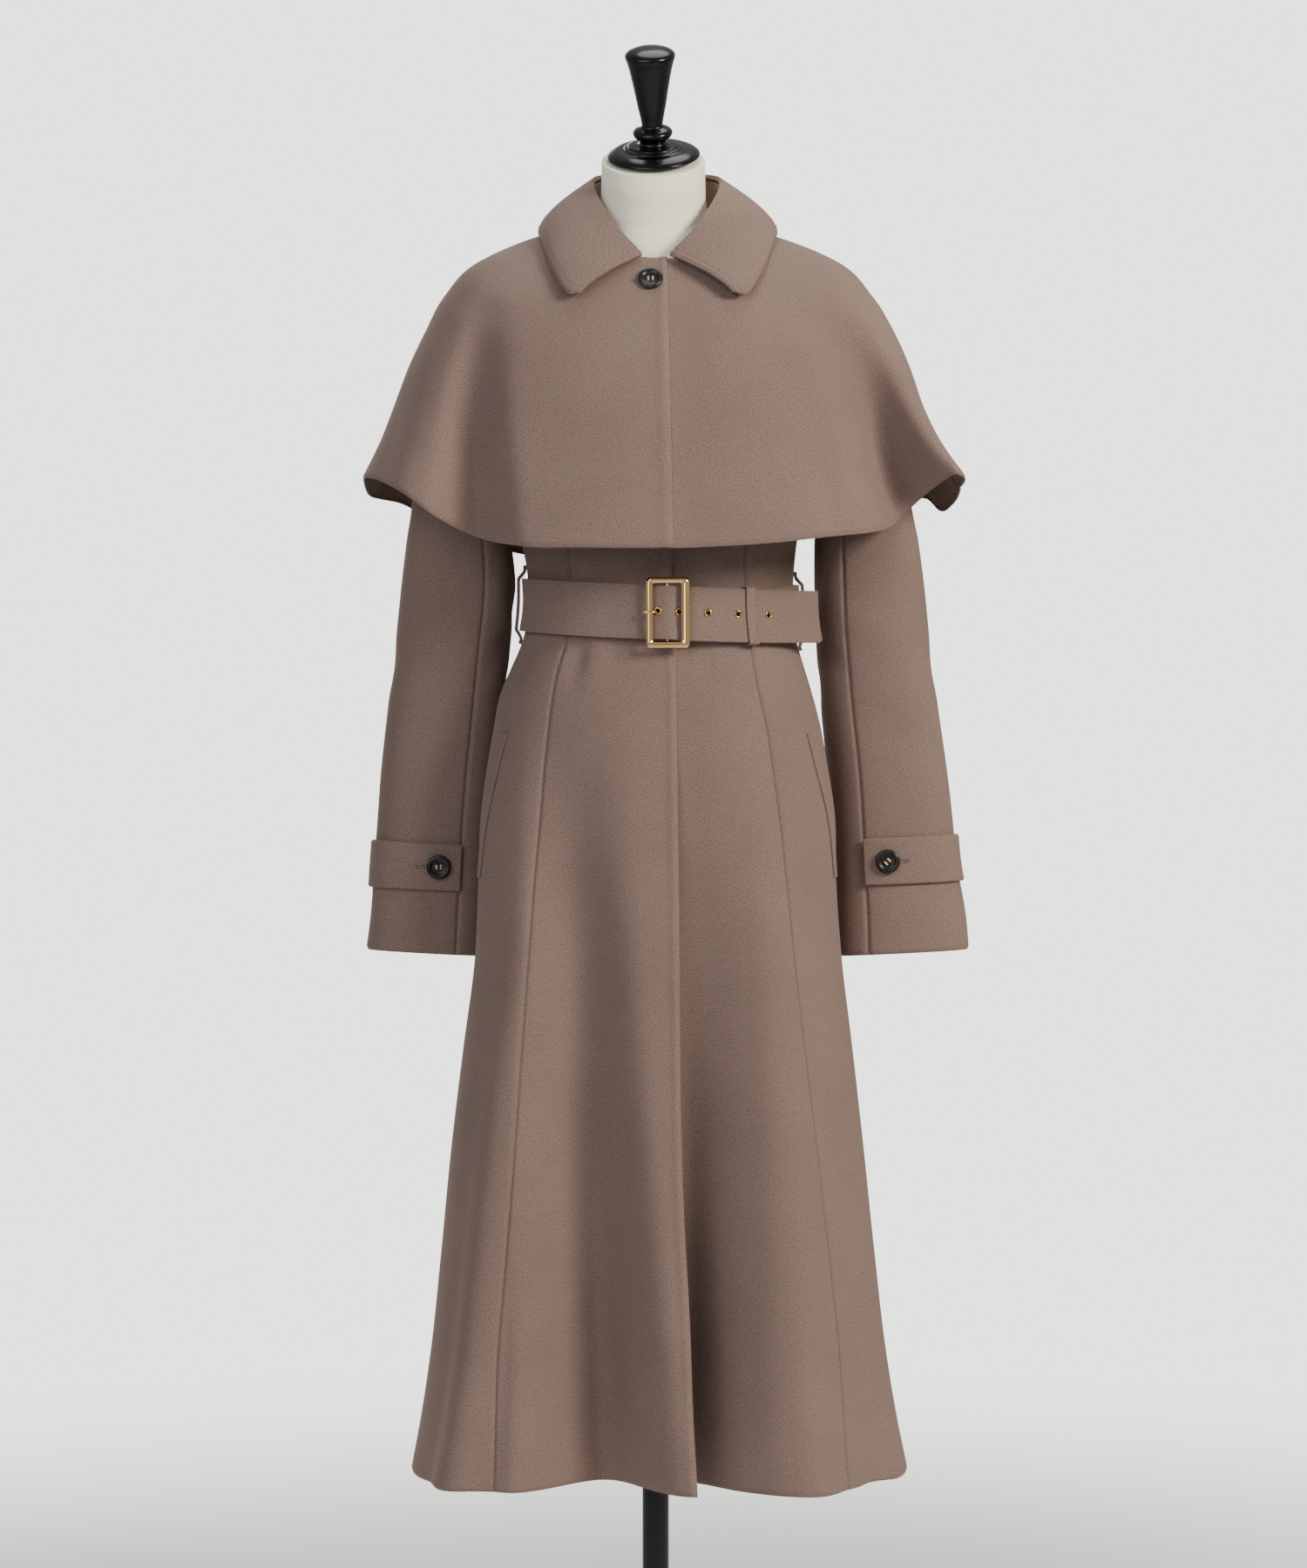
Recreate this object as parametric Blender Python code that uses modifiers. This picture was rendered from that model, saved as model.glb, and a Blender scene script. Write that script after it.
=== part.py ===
"""Belted wool cape coat standing on a limbless dress form. Metres, +Z up, front towards -Y.

Left and right in names are the wearer's: the wearer's right side is at -X.
The coat is cut like the real one: panels, sleeves, cape and collar are walls of cloth worked out
from tables of sections, and pieces that lie on a panel are made from that panel's points.
"""

import math

import bmesh
import bpy
import numpy as np
from mathutils import Matrix, Vector

# ---- driving dimensions -------------------------------------------------------------------
CLOTH = 0.002            # felted wool coating, one layer
SEAM_GAP = 0.0003        # between neighbouring pieces
LAY_GAP = 0.0008         # between a piece and the faceted panel that it lies on
HEM_HEIGHT = 0.247       # hem above the floor
ROUNDNESS = 0.08         # 0 gives an ellipse, more gives squarer shoulders and hips
LAP_SPANS = 2            # the left front runs under this many columns of the right front
UNDER_DEPTH = 0.0028     # how far an under layer lies behind the layer on top
FORM_CLEARANCE = 0.0085  # from the coat's outer face in to the dress form

ARM_HEIGHT = 1.297       # centre of the armhole on the side line
ARM_HALF_HEIGHT = 0.060
ARM_HALF_ANGLE = 27.0
ARM_DISTANCE = 0.120     # armhole to the body's axis, for turning widths into degrees
ARMHOLE_OUT = 0.0006     # the sleeve's last ring stands this far off the body ...
ARMHOLE_GROW = 0.0035    # ... and this much wider than the armhole, at its outer face ...
ARMHOLE_GROW_IN = 0.0012  # ... and at its inner face
SLEEVE_RADIUS = 0.050
PANEL_RADIUS = 0.160
PRINCESS_TOP = 1.270     # princess seams run into the armhole here
SLEEVE_ROUNDNESS = 0.14  # a sleeve's section is squarer than an ellipse
TIP_ANGLE = 1.5          # a side panel is still this many degrees wide where it ends

BELT_WIDTH = 0.051
BELT_THICK = 0.0030
BELT_OFF = 0.0030        # inner face of the belt off the coat
BELT_LAP = 0.0037        # step from the first turn of the belt to the turn over it
BELT_START = 7.5         # degrees round from the front, just past the buckle's centre bar
BELT_END = 436.0
BELT_HEIGHT = 1.0535     # middle of the belt at the wearer's side
BELT_FRONT_DIP = 0.0058
BELT_LEFT_DIP = 0.0062
BELT_RADIUS = 0.115      # for turning widths on the belt into degrees
SIDE_RADIUS = 0.125      # and for widths on the belt's carriers
BELT_STEP = 7.0          # degrees between the belt's sections, and where it climbs
LAP_STEP = 3.4
PAST_BUCKLE = 372.0      # even sections again from here to the belt's end
CLOSEST = 1.2            # least degrees between an even section and an eyelet's flat
LAP_BEGINS = 340.0       # the second turn climbs over the first from here ...
LAP_CLIMB = 17.0         # ... over this many degrees
TAIL_BEGINS = 410.0      # the free tail leaves the coat from here on
TAIL_CLIMB = 26.0
TAIL_LIFT = 0.0170
TAIL_CURL = 1.6          # over 1: the tail lifts late
FIRST_RISE = 0.0060      # the first turn lies this much higher at the wearer's left ...
RISE_FROM, RISE_OVER = 45.0, 30.0      # ... from these degrees on, over this many degrees,
FALL_FROM, FALL_OVER = 150.0, 90.0     # and comes down again here
HUMP_REACH = 7.5         # degrees each way over which the belt rises to the centre bar
KEEPER_ANGLE = 37.6
KEEPER_WIDTH = 0.009
KEEPER_THICK = 0.0013

BUCKLE_WIDTH = 0.0395
BUCKLE_HEIGHT = 0.0645
BUCKLE_BAR = 0.0062
BUCKLE_THICK = 0.0032
BUCKLE_TILT = 2.5

EYELET_RADIUS = 0.0036
EYELET_HOLE = 0.0017
BUTTON_RADIUS = 0.0115
BUTTON_THICK = 0.0040

POLE_RADIUS = 0.0125
BASE_RADIUS = 0.180
BASE_THICK = 0.012
HUB_RADIUS = 0.030
HUB_HEIGHT = 0.018
CAP_SEAT = Vector((-0.0022, -0.0202, 1.4765))   # where the neck cap sits, middle of its underside
CAP_LEAN = 27.0          # the neck's top slopes forward
CAP_SIDE_LEAN = -2.2

LEAF_FULLNESS = 0.64     # under 1: the leaf swells sooner from its edge
LEAF_CROWN = 0.0070      # the collar's leaf bows out between its roll and its edge
STAND_DROP = 0.0064      # the stand ends this far below the roll, inside it
TOP_SPANS = 11           # columns of a top sleeve
STRAP_FROM = 2           # a cuff strap starts at this column, behind, and ends at the front seam
STRAP_LEVELS = (1.52, 2.50)
STRAP_LEFT_RISE = 0.12   # the wearer's left strap sits this many levels higher
STRAP_THICK = 0.0036
CUFF_BUTTON = 7.0
COLLAR_BUTTON_HEIGHT = 1.4048
COLLAR_BUTTON_X = -0.0048
BUCKLE_MID = 4.3         # the buckle's middle, in degrees round from the front
BUCKLE_HUMP = 0.0034     # the belt rises over the centre bar
BUCKLE_LIFT = 0.0022
CENTRE_BAR = 0.0014
BAR_GAP = 0.0006         # between the centre bar and the belt in front of it
PRONG_RADIUS = 0.0013
PRONG_START = -0.0222
PRONG_END = -0.0102
KEEPER_GAP = 0.0006
LOOP_WIDTH = 0.008
LOOP_SLACK = 0.0012
LOOP_THICK = 0.0026
EYELET_FLAT = 2.2        # degrees each way over which the belt is flat round an eyelet
EYELETS = (0.75 + 360, 8.4 + 360, 19.4 + 360, 31.7 + 360, 46.7 + 360)
EYELET_RISE = 0.05       # the eyelets lie this share of the belt's half width above its middle

# Turned profiles, radius and height, down the outside from top to bottom.
EYELET_PROFILE = (
    (.0017, .0006), (.0020, .0012), (.0030, .0014), (.0036, .0006), (.0023, .0005),
    (.0023, -.0029), (.0017, -.0029), (.0017, .0006),
)
EYELET_CUTTER = ((0, .006), (.0027, .006), (.0027, -.006), (0, -.006))
BUTTON_PROFILE = (
    (0, .0022), (.0062, .0022), (.0078, .0027), (.0092, .0037), (.0103, .0037), (.0114, .0027),
    (.0115, .0018), (.0100, .0004), (.0060, 0), (0, 0),
)
CAP_PROFILE = (
    (0, .1046), (.0100, .1038), (.0170, .1020), (.0212, .1000), (.0232, .0980), (.0236, .0963),
    (.0231, .0936), (.0205, .0848), (.0169, .0675), (.0137, .0500), (.0104, .0335),
    (.0108, .0292), (.0160, .0268), (.0184, .0245), (.0186, .0222), (.0172, .0195),
    (.0134, .0172), (.0126, .0140), (.0150, .0120), (.0225, .0112), (.0237, .0098),
    (.0266, .0092), (.0277, .0080), (.0345, .0070), (.0398, .0050), (.0430, .0028),
    (.0438, .0014), (.0435, .0004), (.0425, 0), (0, 0),
)
BASE_PROFILE = (
    (0, HUB_HEIGHT), (.0240, HUB_HEIGHT), (HUB_RADIUS, .0160), (.0340, BASE_THICK + .0008),
    (.1700, BASE_THICK - .0020), (.1780, BASE_THICK - .0040), (BASE_RADIUS, BASE_THICK - .0075),
    (BASE_RADIUS, .0010), (BASE_RADIUS - .0010, 0), (0, 0),
)

FORM_SIDES = 32
FORM_RINGS = (
    # height of the coat's ring, how much further in than the clearance
    (.745, .0520), (.748, .0360), (.758, .0280), (.800, .020), (.863, .011), (.912, .004), (.960, 0),
    (1.00, 0), (1.055, 0), (1.100, 0), (1.150, 0), (1.200, 0), (1.247, 0), (1.297, 0),
    (1.325, 0), (1.347, .001), (1.365, .002), (1.385, .004), (1.402, .008),
)

# Coat body, a row for each height on the side line: half widths to the wearer's right (-X) and
# left (+X), depths front and back, how much lower the ring is at the front and back, and how far
# from the middle the front and back princess seams run.
BODY = (
    # height, right, left, front, back, front_drop, back_drop, seam_right, seam_left, seam_back
    (0.247, .2300, .2370, .150, .172, 0, 0, .148, .177, .150),
    (0.300, .2203, .2262, .143, .164, 0, 0, .1466, .1735, .143),
    (0.360, .2115, .2165, .137, .156, 0, 0, .1452, .170, .136),
    (0.450, .2020, .2060, .129, .146, 0, 0, .138, .1605, .126),
    (0.550, .1923, .1956, .121, .137, 0, 0, .130, .1493, .117),
    (0.645, .1808, .1849, .114, .129, 0, 0, .1234, .138, .109),
    (0.727, .1702, .1751, .109, .124, 0, 0, .1176, .1286, .103),
    (0.800, .1669, .1698, .107, .121, 0, 0, .1123, .121, .098),
    (0.863, .1644, .1685, .107, .119, 0, 0, .1065, .1137, .093),
    (0.912, .1579, .1610, .106, .114, 0, 0, .1023, .107, .087),
    (0.945, .1522, .1552, .104, .109, 0, 0, .0985, .102, .082),
    (0.975, .1464, .1475, .101, .104, 0, 0, .0947, .095, .077),
    (1.000, .1360, .1400, .098, .099, 0, 0, .0895, .0905, .072),
    (1.022, .1265, .1335, .0955, .095, 0, 0, .0825, .087, .068),
    (1.055, .1195, .1290, .094, .091, 0, 0, .0785, .084, .066),
    (1.090, .1210, .1300, .0955, .091, 0, 0, .0795, .083, .068),
    (1.130, .1295, .1350, .104, .097, 0, 0, .084, .085, .076),
    (1.180, .1480, .1490, .118, .106, .003, .001, .098, .098, .092),
    (1.237, .1610, .1610, .126, .113, .014, .008, .130, .130, .126),
    (1.247, .1630, .1630, .127, .114, .018, .010, .1375, .1375, .136),
    (1.270, .1660, .1660, .127, .115, .027, .012, .1535, .1535, .1535),
    (1.297, .1690, .1690, .125, .114, .037, .014, 0, 0, 0),
    (1.325, .1700, .1700, .121, .109, .046, .012, 0, 0, 0),
    (1.347, .1660, .1660, .114, .102, .050, .006, 0, 0, 0),
    (1.357, .1610, .1610, .110, .098, .052, .002, 0, 0, 0),
    (1.382, .1240, .1240, .098, .087, .053, -.001, 0, 0, 0),
    (1.402, .0920, .0920, .086, .074, .048, -.006, 0, 0, 0),
    (1.416, .0670, .0670, .0745, .0610, .0435, -.010, 0, 0, 0),
)

SEAM_RIGHT, SEAM_LEFT, SEAM_BACK = 7, 8, 9    # columns of BODY

# Where the right front's edge lies, by height at the front.
FRONT_EDGE = (
    # height, x
    (0.247, .0382),
    (0.314, .0343),
    (0.400, .0312),
    (0.500, .0258),
    (0.800, .0210),
    (1.000, .0187),
    (1.100, .0165),
    (1.300, .0125),
    (1.400, .0105),
)

# Soft folds of the skirt: they start at the top height and deepen to the hem. Minus is a trough.
SKIRT_FOLDS = (
    # angle_top, angle_hem, half_angle, depth, top
    (-46, -51, 14, .020, .85),
    (-29, -13, 21, -.085, .95),
    (40, 34.5, 14, .022, .88),
    (60, 59, 13, -.012, .62),
    (128, 130, 19, .012, .85),
    (153, 156, 16, -.018, .82),
    (180, 181, 14, .012, .85),
    (207, 205, 15, -.020, .82),
    (233, 232, 18, .012, .78),
)

# The left front hangs back from the right front that covers its edge.
UNDER_FOLDS = (
    # angle_top, angle_hem, half_angle, depth, top
    (13, 3, 24, -.080, .93),
)

# The cape, a row for each ring from neck to hem, by its height on the shoulder line.
CAPE = (
    # height, right, left, front, back, front_drop, back_drop
    (1.4195, .0715, .0715, .0795, .0660, .0425, -.0105),
    (1.4100, .1000, .1010, .0885, .0770, .0480, -.0070),
    (1.4010, .1260, .1285, .0970, .0880, .0540, -.0010),
    (1.3830, .1655, .1700, .1110, .1030, .0600, .0080),
    (1.3500, .1988, .2038, .1260, .1200, .0620, .0200),
    (1.3170, .2165, .2240, .1340, .1310, .0600, .0310),
    (1.2850, .2317, .2385, .1390, .1390, .0600, .0420),
    (1.2500, .2450, .2510, .1430, .1460, .0620, .0530),
    (1.2150, .2585, .2660, .1475, .1540, .0660, .0640),
    (1.1780, .2765, .2885, .1530, .1640, .0730, .0720),
)
# How far the cape's hem lifts or drops round the body; half as far up it hardly shows.
LIFT_TOP = 1.300
# Less than 1 makes folds reach to the front and back more than sideways.
SKIRT_SPREAD = 0.3
CAPE_SPREAD = 0.05
CAPE_LIFTS = (
    # degrees, lift
    (-180, 0),
    (-140, 0),
    (-120, .005),
    (-108, -.004),
    (-98, -.009),
    (-90, -.003),
    (-80, .004),
    (-66, .011),
    (-54, .010),
    (-44, 0),
    (-34, -.008),
    (-24, -.009),
    (-14, -.004),
    (0, -.001),
    (20, -.003),
    (32, -.006),
    (42, -.011),
    (50, -.010),
    (57, -.001),
    (63, .008),
    (68, .013),
    (74, .006),
    (80, -.003),
    (90, -.011),
    (102, -.016),
    (109, -.014),
    (116, .006),
    (124, .014),
    (136, .012),
    (150, .014),
    (165, .004),
    (180, 0),
)
CAPE_FOLDS = (
    # angle_top, angle_hem, half_angle, depth, top
    (-50, -35, 12, -.042, 1.37),
    (-66, -54, 15, .012, 1.33),
    (-6, -9, 18, .005, 1.30),
    (22, 20, 20, .004, 1.30),
    (49, 54, 15, -.066, 1.37),
    (70, 72, 12, .028, 1.34),
    (128, 122, 17, -.013, 1.36),
    (158, 152, 16, .006, 1.34),
    (184, 186, 13, -.008, 1.30),
    (208, 213, 16, .007, 1.34),
    (233, 241, 17, -.014, 1.36),
)

# Sleeves, from cuff to underarm: each section runs from its inner point to its outer point.
SLEEVE = (
    # z_in, z_out, in_right, out_right, in_left, out_left, y_mid, half_depth
    (.7270, .7335, .1600, .2770, .1690, .3000, .063, .0420),
    (.7650, .7700, .1590, .2725, .1690, .2965, .063, .0422),
    (.8100, .8150, .1570, .2695, .1680, .2885, .063, .0425),
    (.8550, .8600, .1545, .2660, .1665, .2840, .061, .0430),
    (.9000, .9050, .1505, .2625, .1640, .2785, .058, .0440),
    (.9600, .9650, .1445, .2555, .1580, .2695, .052, .0450),
    (1.020, 1.023, .1385, .2480, .1530, .2615, .043, .0470),
    (1.080, 1.083, .1330, .2410, .1505, .2545, .032, .0490),
    (1.135, 1.142, .1400, .2335, .1510, .2455, .022, .0510),
    (1.183, 1.205, .1540, .2280, .1560, .2350, .013, .0540),
    (1.211, 1.262, .1600, .2210, .1610, .2230, .008, .0560),
    (1.226, 1.306, .1640, .2075, .1640, .2080, .006, .0570),
)
SLEEVE_SEAM_FRONT = 27.0   # degrees in from the sleeve's front line
SLEEVE_SEAM_BACK = 152.0

# Pocket welt, bottom to top, on the side front panels.
WELT = (
    # height, angle
    (.803, 80.0),
    (.850, 73.0),
    (.895, 67.5),
    (.938, 63.5),
)
WELT_WIDTH = 0.014

# Collar, a row for each station from its front end round to the middle of the back.
COLLAR = (
    # along, base x y z, roll x y z, edge x y z
    (0.00, .0150, -.0815, 1.3755, .0120, -.0855, 1.3792, .0750, -.1165, 1.3325),
    (0.12, .0320, -.0730, 1.3860, .0285, -.0745, 1.3975, .0870, -.1010, 1.3475),
    (0.25, .0490, -.0580, 1.3970, .0430, -.0585, 1.4180, .0980, -.0790, 1.3690),
    (0.38, .0620, -.0340, 1.4090, .0540, -.0345, 1.4400, .1065, -.0480, 1.3930),
    (0.52, .0665, -.0050, 1.4185, .0595, -.0030, 1.4580, .1120, -.0080, 1.4105),
    (0.68, .0600, .0260, 1.4245, .0550, .0275, 1.4680, .1040, .0400, 1.4165),
    (0.84, .0390, .0500, 1.4290, .0355, .0520, 1.4735, .0670, .0800, 1.4165),
    (1.00, .0000, .0590, 1.4300, .0000, .0610, 1.4750, .0000, .0970, 1.4160),
)
COLLAR_THICK = 0.0042
COLLAR_LEFT_WIDER = 1.035
STAND_THICK = 0.0024

# Form's neck above the shoulders: ring centre and half widths, and how far each ring leans.
NECK = (
    # y_mid, z_mid, half_width, half_depth, lean
    (-.0042, 1.4060, .0560, .0560, 6),
    (-.0080, 1.4250, .0515, .0530, 12),
    (-.0135, 1.4400, .0492, .0500, 19),
    (-.0190, 1.4575, .0486, .0490, 25),
    (-.0197, 1.4750, .0484, .0486, 27),
)

WOOL = "#7D685D"
LINEN = "#E9E4D8"
LACQUER = "#17161A"
GOLD = "#D8B878"
HORN = "#2A211E"


# ---- scene helpers ------------------------------------------------------------------------
def clear_scene():
    for old in list(bpy.data.objects):
        bpy.data.objects.remove(old, do_unlink=True)


def make_collection(name):
    collection = bpy.data.collections.new(name)
    bpy.context.scene.collection.children.link(collection)
    return collection


def linear(hex_code):
    """Linear colour of an sRGB hex code."""
    parts = [int(hex_code[k:k + 2], 16) / 255 for k in (1, 3, 5)]
    return [p / 12.92 if p < 0.04045 else ((p + 0.055) / 1.055) ** 2.4 for p in parts] + [1.0]


def make_material(name, hex_code, roughness, metallic=0.0):
    material = bpy.data.materials.new(name)
    material.use_nodes = True
    shader = material.node_tree.nodes["Principled BSDF"]
    shader.inputs["Base Color"].default_value = linear(hex_code)
    shader.inputs["Roughness"].default_value = roughness
    shader.inputs["Metallic"].default_value = metallic
    return material


def object_from(name, bm, material, smooth_angle=None):
    """Turns a bmesh into an object of the coat with its own copy of a material."""
    mesh = bpy.data.meshes.new(name)
    bm.to_mesh(mesh)
    bm.free()
    finish = material.copy()
    finish.name = name + "_finish"
    mesh.materials.append(finish)
    if smooth_angle is not None:
        mesh.shade_smooth()
        mesh.set_sharp_from_angle(angle=math.radians(smooth_angle))
    made = bpy.data.objects.new(name, mesh)
    PARTS.objects.link(made)
    return made


# ---- tables and surfaces ------------------------------------------------------------------
class Table:
    """Rows joined by smooth curves through each column, looked up by the first column."""

    def __init__(self, rows):
        self.rows = np.array(rows, dtype=float)
        if self.rows[0, 0] > self.rows[-1, 0]:
            self.rows = self.rows[::-1]
        self.slopes = np.gradient(self.rows, self.rows[:, 0], axis=0)

    def at(self, key):
        keys = self.rows[:, 0]
        key = min(max(key, keys[0]), keys[-1])
        k = int(min(max(np.searchsorted(keys, key) - 1, 0), len(keys) - 2))
        span = keys[k + 1] - keys[k]
        t = (key - keys[k]) / span
        here, there = self.rows[k], self.rows[k + 1]
        slope_here, slope_there = self.slopes[k] * span, self.slopes[k + 1] * span
        return ((2 * t ** 3 - 3 * t ** 2 + 1) * here + (t ** 3 - 2 * t ** 2 + t) * slope_here
                + (3 * t ** 2 - 2 * t ** 3) * there + (t ** 3 - t ** 2) * slope_there)


body_table = Table(BODY)
cape_table = Table(CAPE)
lift_table = Table(CAPE_LIFTS)
edge_table = Table(FRONT_EDGE)
sleeve_table = Table([(k, *row) for k, row in enumerate(SLEEVE)])
collar_table = Table(COLLAR)
welt_table = Table(WELT)


def ease(t):
    t = min(max(t, 0.0), 1.0)
    return t * t * (3 - 2 * t)


def ring_point(row, degrees):
    """Point of a body or cape ring. 0 degrees is the front, 90 the wearer's left."""
    height, right, left, front, back, front_drop, back_drop = row[:7]
    angle = math.radians(degrees)
    s, c = math.sin(angle), math.cos(angle)
    x = (left if s > 0 else right) * s * (1 + ROUNDNESS * c * c)
    y = -(front if c > 0 else back) * c * (1 + ROUNDNESS * s * s)
    drop = (front_drop if c > 0 else back_drop) * abs(c) ** 1.6
    return Vector((x, y, height - drop))


def fold_depth(folds, degrees, height, hem):
    total = 0.0
    for angle_top, angle_hem, half_angle, depth, top in folds:
        grown = (top - height) / (top - hem)
        if grown <= 0:
            continue
        middle = angle_top + (angle_hem - angle_top) * min(grown, 1)
        away = ((degrees - middle + 180) % 360 - 180) / half_angle
        if abs(away) < 1:
            total += depth * min(grown, 1) * (1 + math.cos(math.pi * away)) / 2
    return total


def pushed(point, amount, spread=1.0):
    """Moves a point level, away from the body's axis; less spread turns it to front and back."""
    away = Vector((point.x * spread, point.y, 0)).normalized()
    return point + away * amount


def body_surface(degrees, height):
    point = ring_point(body_table.at(height), degrees)
    return pushed(point, fold_depth(SKIRT_FOLDS, degrees, height, HEM_HEIGHT), SKIRT_SPREAD)


def cape_surface(degrees, height):
    point = ring_point(cape_table.at(height), degrees)
    grown = (LIFT_TOP - height) / (LIFT_TOP - CAPE[-1][0])
    lift = lift_table.at((degrees + 180) % 360 - 180)[1] * max(grown, 0.0) ** 2
    point = pushed(point, fold_depth(CAPE_FOLDS, degrees, height, CAPE[-1][0]), CAPE_SPREAD)
    return point + Vector((0, 0, lift))


def off_surface(surface, across, up, out, step_across=1.0, step_up=0.004):
    """A point of a surface moved out along its normal."""
    point = surface(across, up)
    if out == 0:
        return point
    side = surface(across + step_across, up) - surface(across - step_across, up)
    rise = surface(across, up + step_up) - surface(across, up - step_up)
    return point + side.cross(rise).normalized() * out


def angle_of_x(surface, x, height, low=-89.0, high=89.0):
    """Angle at which the front of a ring reaches x."""
    for _ in range(30):
        middle = (low + high) / 2
        if surface(middle, height).x < x:
            low = middle
        else:
            high = middle
    return (low + high) / 2


def edge_angle(surface, height):
    """Angle of the right front's edge at a height on the side line."""
    front_height = surface(0, height).z
    return angle_of_x(surface, edge_table.at(front_height)[1], height)


def half_gap(surface, degrees, height):
    """Half a seam's gap, in degrees, at a point of a surface."""
    per_degree = (surface(degrees + 0.5, height) - surface(degrees - 0.5, height)).length
    return SEAM_GAP / 2 / per_degree


# ---- walls of cloth -----------------------------------------------------------------------
def wall_bmesh(outer, inner, closed_round=False):
    """Closed wall between two like grids of points: rows run up, columns run across."""
    bm = bmesh.new()
    outside = [[bm.verts.new(p) for p in row] for row in outer]
    inside = [[bm.verts.new(p) for p in row] for row in inner]
    rows, columns = len(outer), len(outer[0])
    spans = [(j, (j + 1) % columns) for j in range(columns if closed_round else columns - 1)]
    for i in range(rows - 1):
        for j, k in spans:
            bm.faces.new((outside[i][j], outside[i][k], outside[i + 1][k], outside[i + 1][j]))
            bm.faces.new((inside[i][j], inside[i + 1][j], inside[i + 1][k], inside[i][k]))
        if not closed_round:
            bm.faces.new((outside[i][0], outside[i + 1][0], inside[i + 1][0], inside[i][0]))
            bm.faces.new((outside[i][-1], inside[i][-1], inside[i + 1][-1], outside[i + 1][-1]))
    for j, k in spans:
        bm.faces.new((outside[0][j], inside[0][j], inside[0][k], outside[0][k]))
        bm.faces.new((outside[-1][j], outside[-1][k], inside[-1][k], inside[-1][j]))
    return bm


def panel(name, surface, heights, columns_at, sunk=None, thick=CLOTH):
    """A panel whose columns are angles worked out from the height; sunk gives their depths."""
    outer, inner = [], []
    for height in heights:
        angles = np.array(columns_at(height))
        depths = [0.0] * len(angles) if sunk is None else sunk(angles, height)
        angles[0] += half_gap(surface, angles[0], height)
        angles[-1] -= half_gap(surface, angles[-1], height)
        outer.append([off_surface(surface, a, height, -d) for a, d in zip(angles, depths)])
        inner.append([off_surface(surface, a, height, -d - thick) for a, d in zip(angles, depths)])
    return object_from(name, wall_bmesh(outer, inner), wool)


def between(low, high, spans):
    """Columns at even angles between two edges."""
    return lambda height: np.linspace(low(height), high(height), spans + 1)


def fronts(word, surface, heights, outside_right, outside_left, spans, folds=()):
    """The right front and the left front that runs under it on the same columns."""
    over = lambda height: edge_angle(surface, height)
    on_top = between(outside_right, over, spans)
    beyond = between(over, outside_left, spans)

    def under(height):
        return [*on_top(height)[-1 - LAP_SPANS:], *beyond(height)[1:]]

    def hung_back(angle, height):
        return pushed(surface(angle, height), fold_depth(folds, angle, height, HEM_HEIGHT),
                      SKIRT_SPREAD)

    def sunk(angles, height):
        return [UNDER_DEPTH] * (LAP_SPANS + 1) + [UNDER_DEPTH / 3] + [0.0] * (spans - 1)
    panel(word + "_right", surface, heights, on_top)
    panel(word + "_left", hung_back, heights, under, sunk)


def armhole_edge(height):
    """Half opening of the armhole at a height on the side line, in degrees from the side."""
    rise = (height - ARM_HEIGHT) / ARM_HALF_HEIGHT
    return ARM_HALF_ANGLE * math.sqrt(max(0.0, 1 - rise * rise))


def princess(column, sign):
    """Angle of a front princess seam, which gives way to the armhole above its top."""
    def edge(height):
        at_armhole = 90 - armhole_edge(height)
        if height > PRINCESS_TOP:
            return sign * at_armhole
        seam = angle_of_x(body_surface, sign * body_table.at(height)[column], height)
        return sign * min(abs(seam), at_armhole - TIP_ANGLE)
    return edge


def back_princess(sign):
    def edge(height):
        at_armhole = 90 - armhole_edge(height)
        if height > PRINCESS_TOP:
            return 180 - sign * at_armhole
        x = sign * body_table.at(height)[SEAM_BACK]
        seam = angle_of_x(lambda a, h: body_surface(180 - a, h), x, height)
        return 180 - sign * min(abs(seam), at_armhole - TIP_ANGLE)
    return edge


def side_edge(sign, towards_back):
    """Side seam, which opens round the armhole."""
    def edge(height):
        opening = armhole_edge(height)
        if towards_back:
            return 180 - sign * (90 - opening)
        return sign * (90 - opening)
    return edge


def make_body():
    all_heights = [row[0] for row in BODY]
    side_heights = [h for h in all_heights if h <= PRINCESS_TOP]
    middle = lambda height: 180.0
    seam_right, seam_left = princess(SEAM_RIGHT, -1), princess(SEAM_LEFT, 1)
    back_left, back_right = back_princess(1), back_princess(-1)
    fronts("centre_front", body_surface, all_heights, seam_right, seam_left, 5, UNDER_FOLDS)
    sides = (
        ("side_front_right", side_edge(-1, False), seam_right),
        ("side_front_left", seam_left, side_edge(1, False)),
        ("side_back_left", side_edge(1, True), back_left),
        ("side_back_right", back_right, side_edge(-1, True)),
    )
    for name, low, high in sides:
        panel(name, body_surface, side_heights, between(low, high, 3))
    panel("centre_back_left", body_surface, all_heights, between(back_left, middle, 4))
    panel("centre_back_right", body_surface, all_heights, between(middle, back_right, 4))


def make_cape():
    heights = [row[0] for row in CAPE][::-1]
    right, left = lambda height: -90.0, lambda height: 90.0
    fronts("cape_front", cape_surface, heights, right, left, 10)
    panel("cape_back", cape_surface, heights, between(left, lambda height: 270.0, 16))


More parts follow.
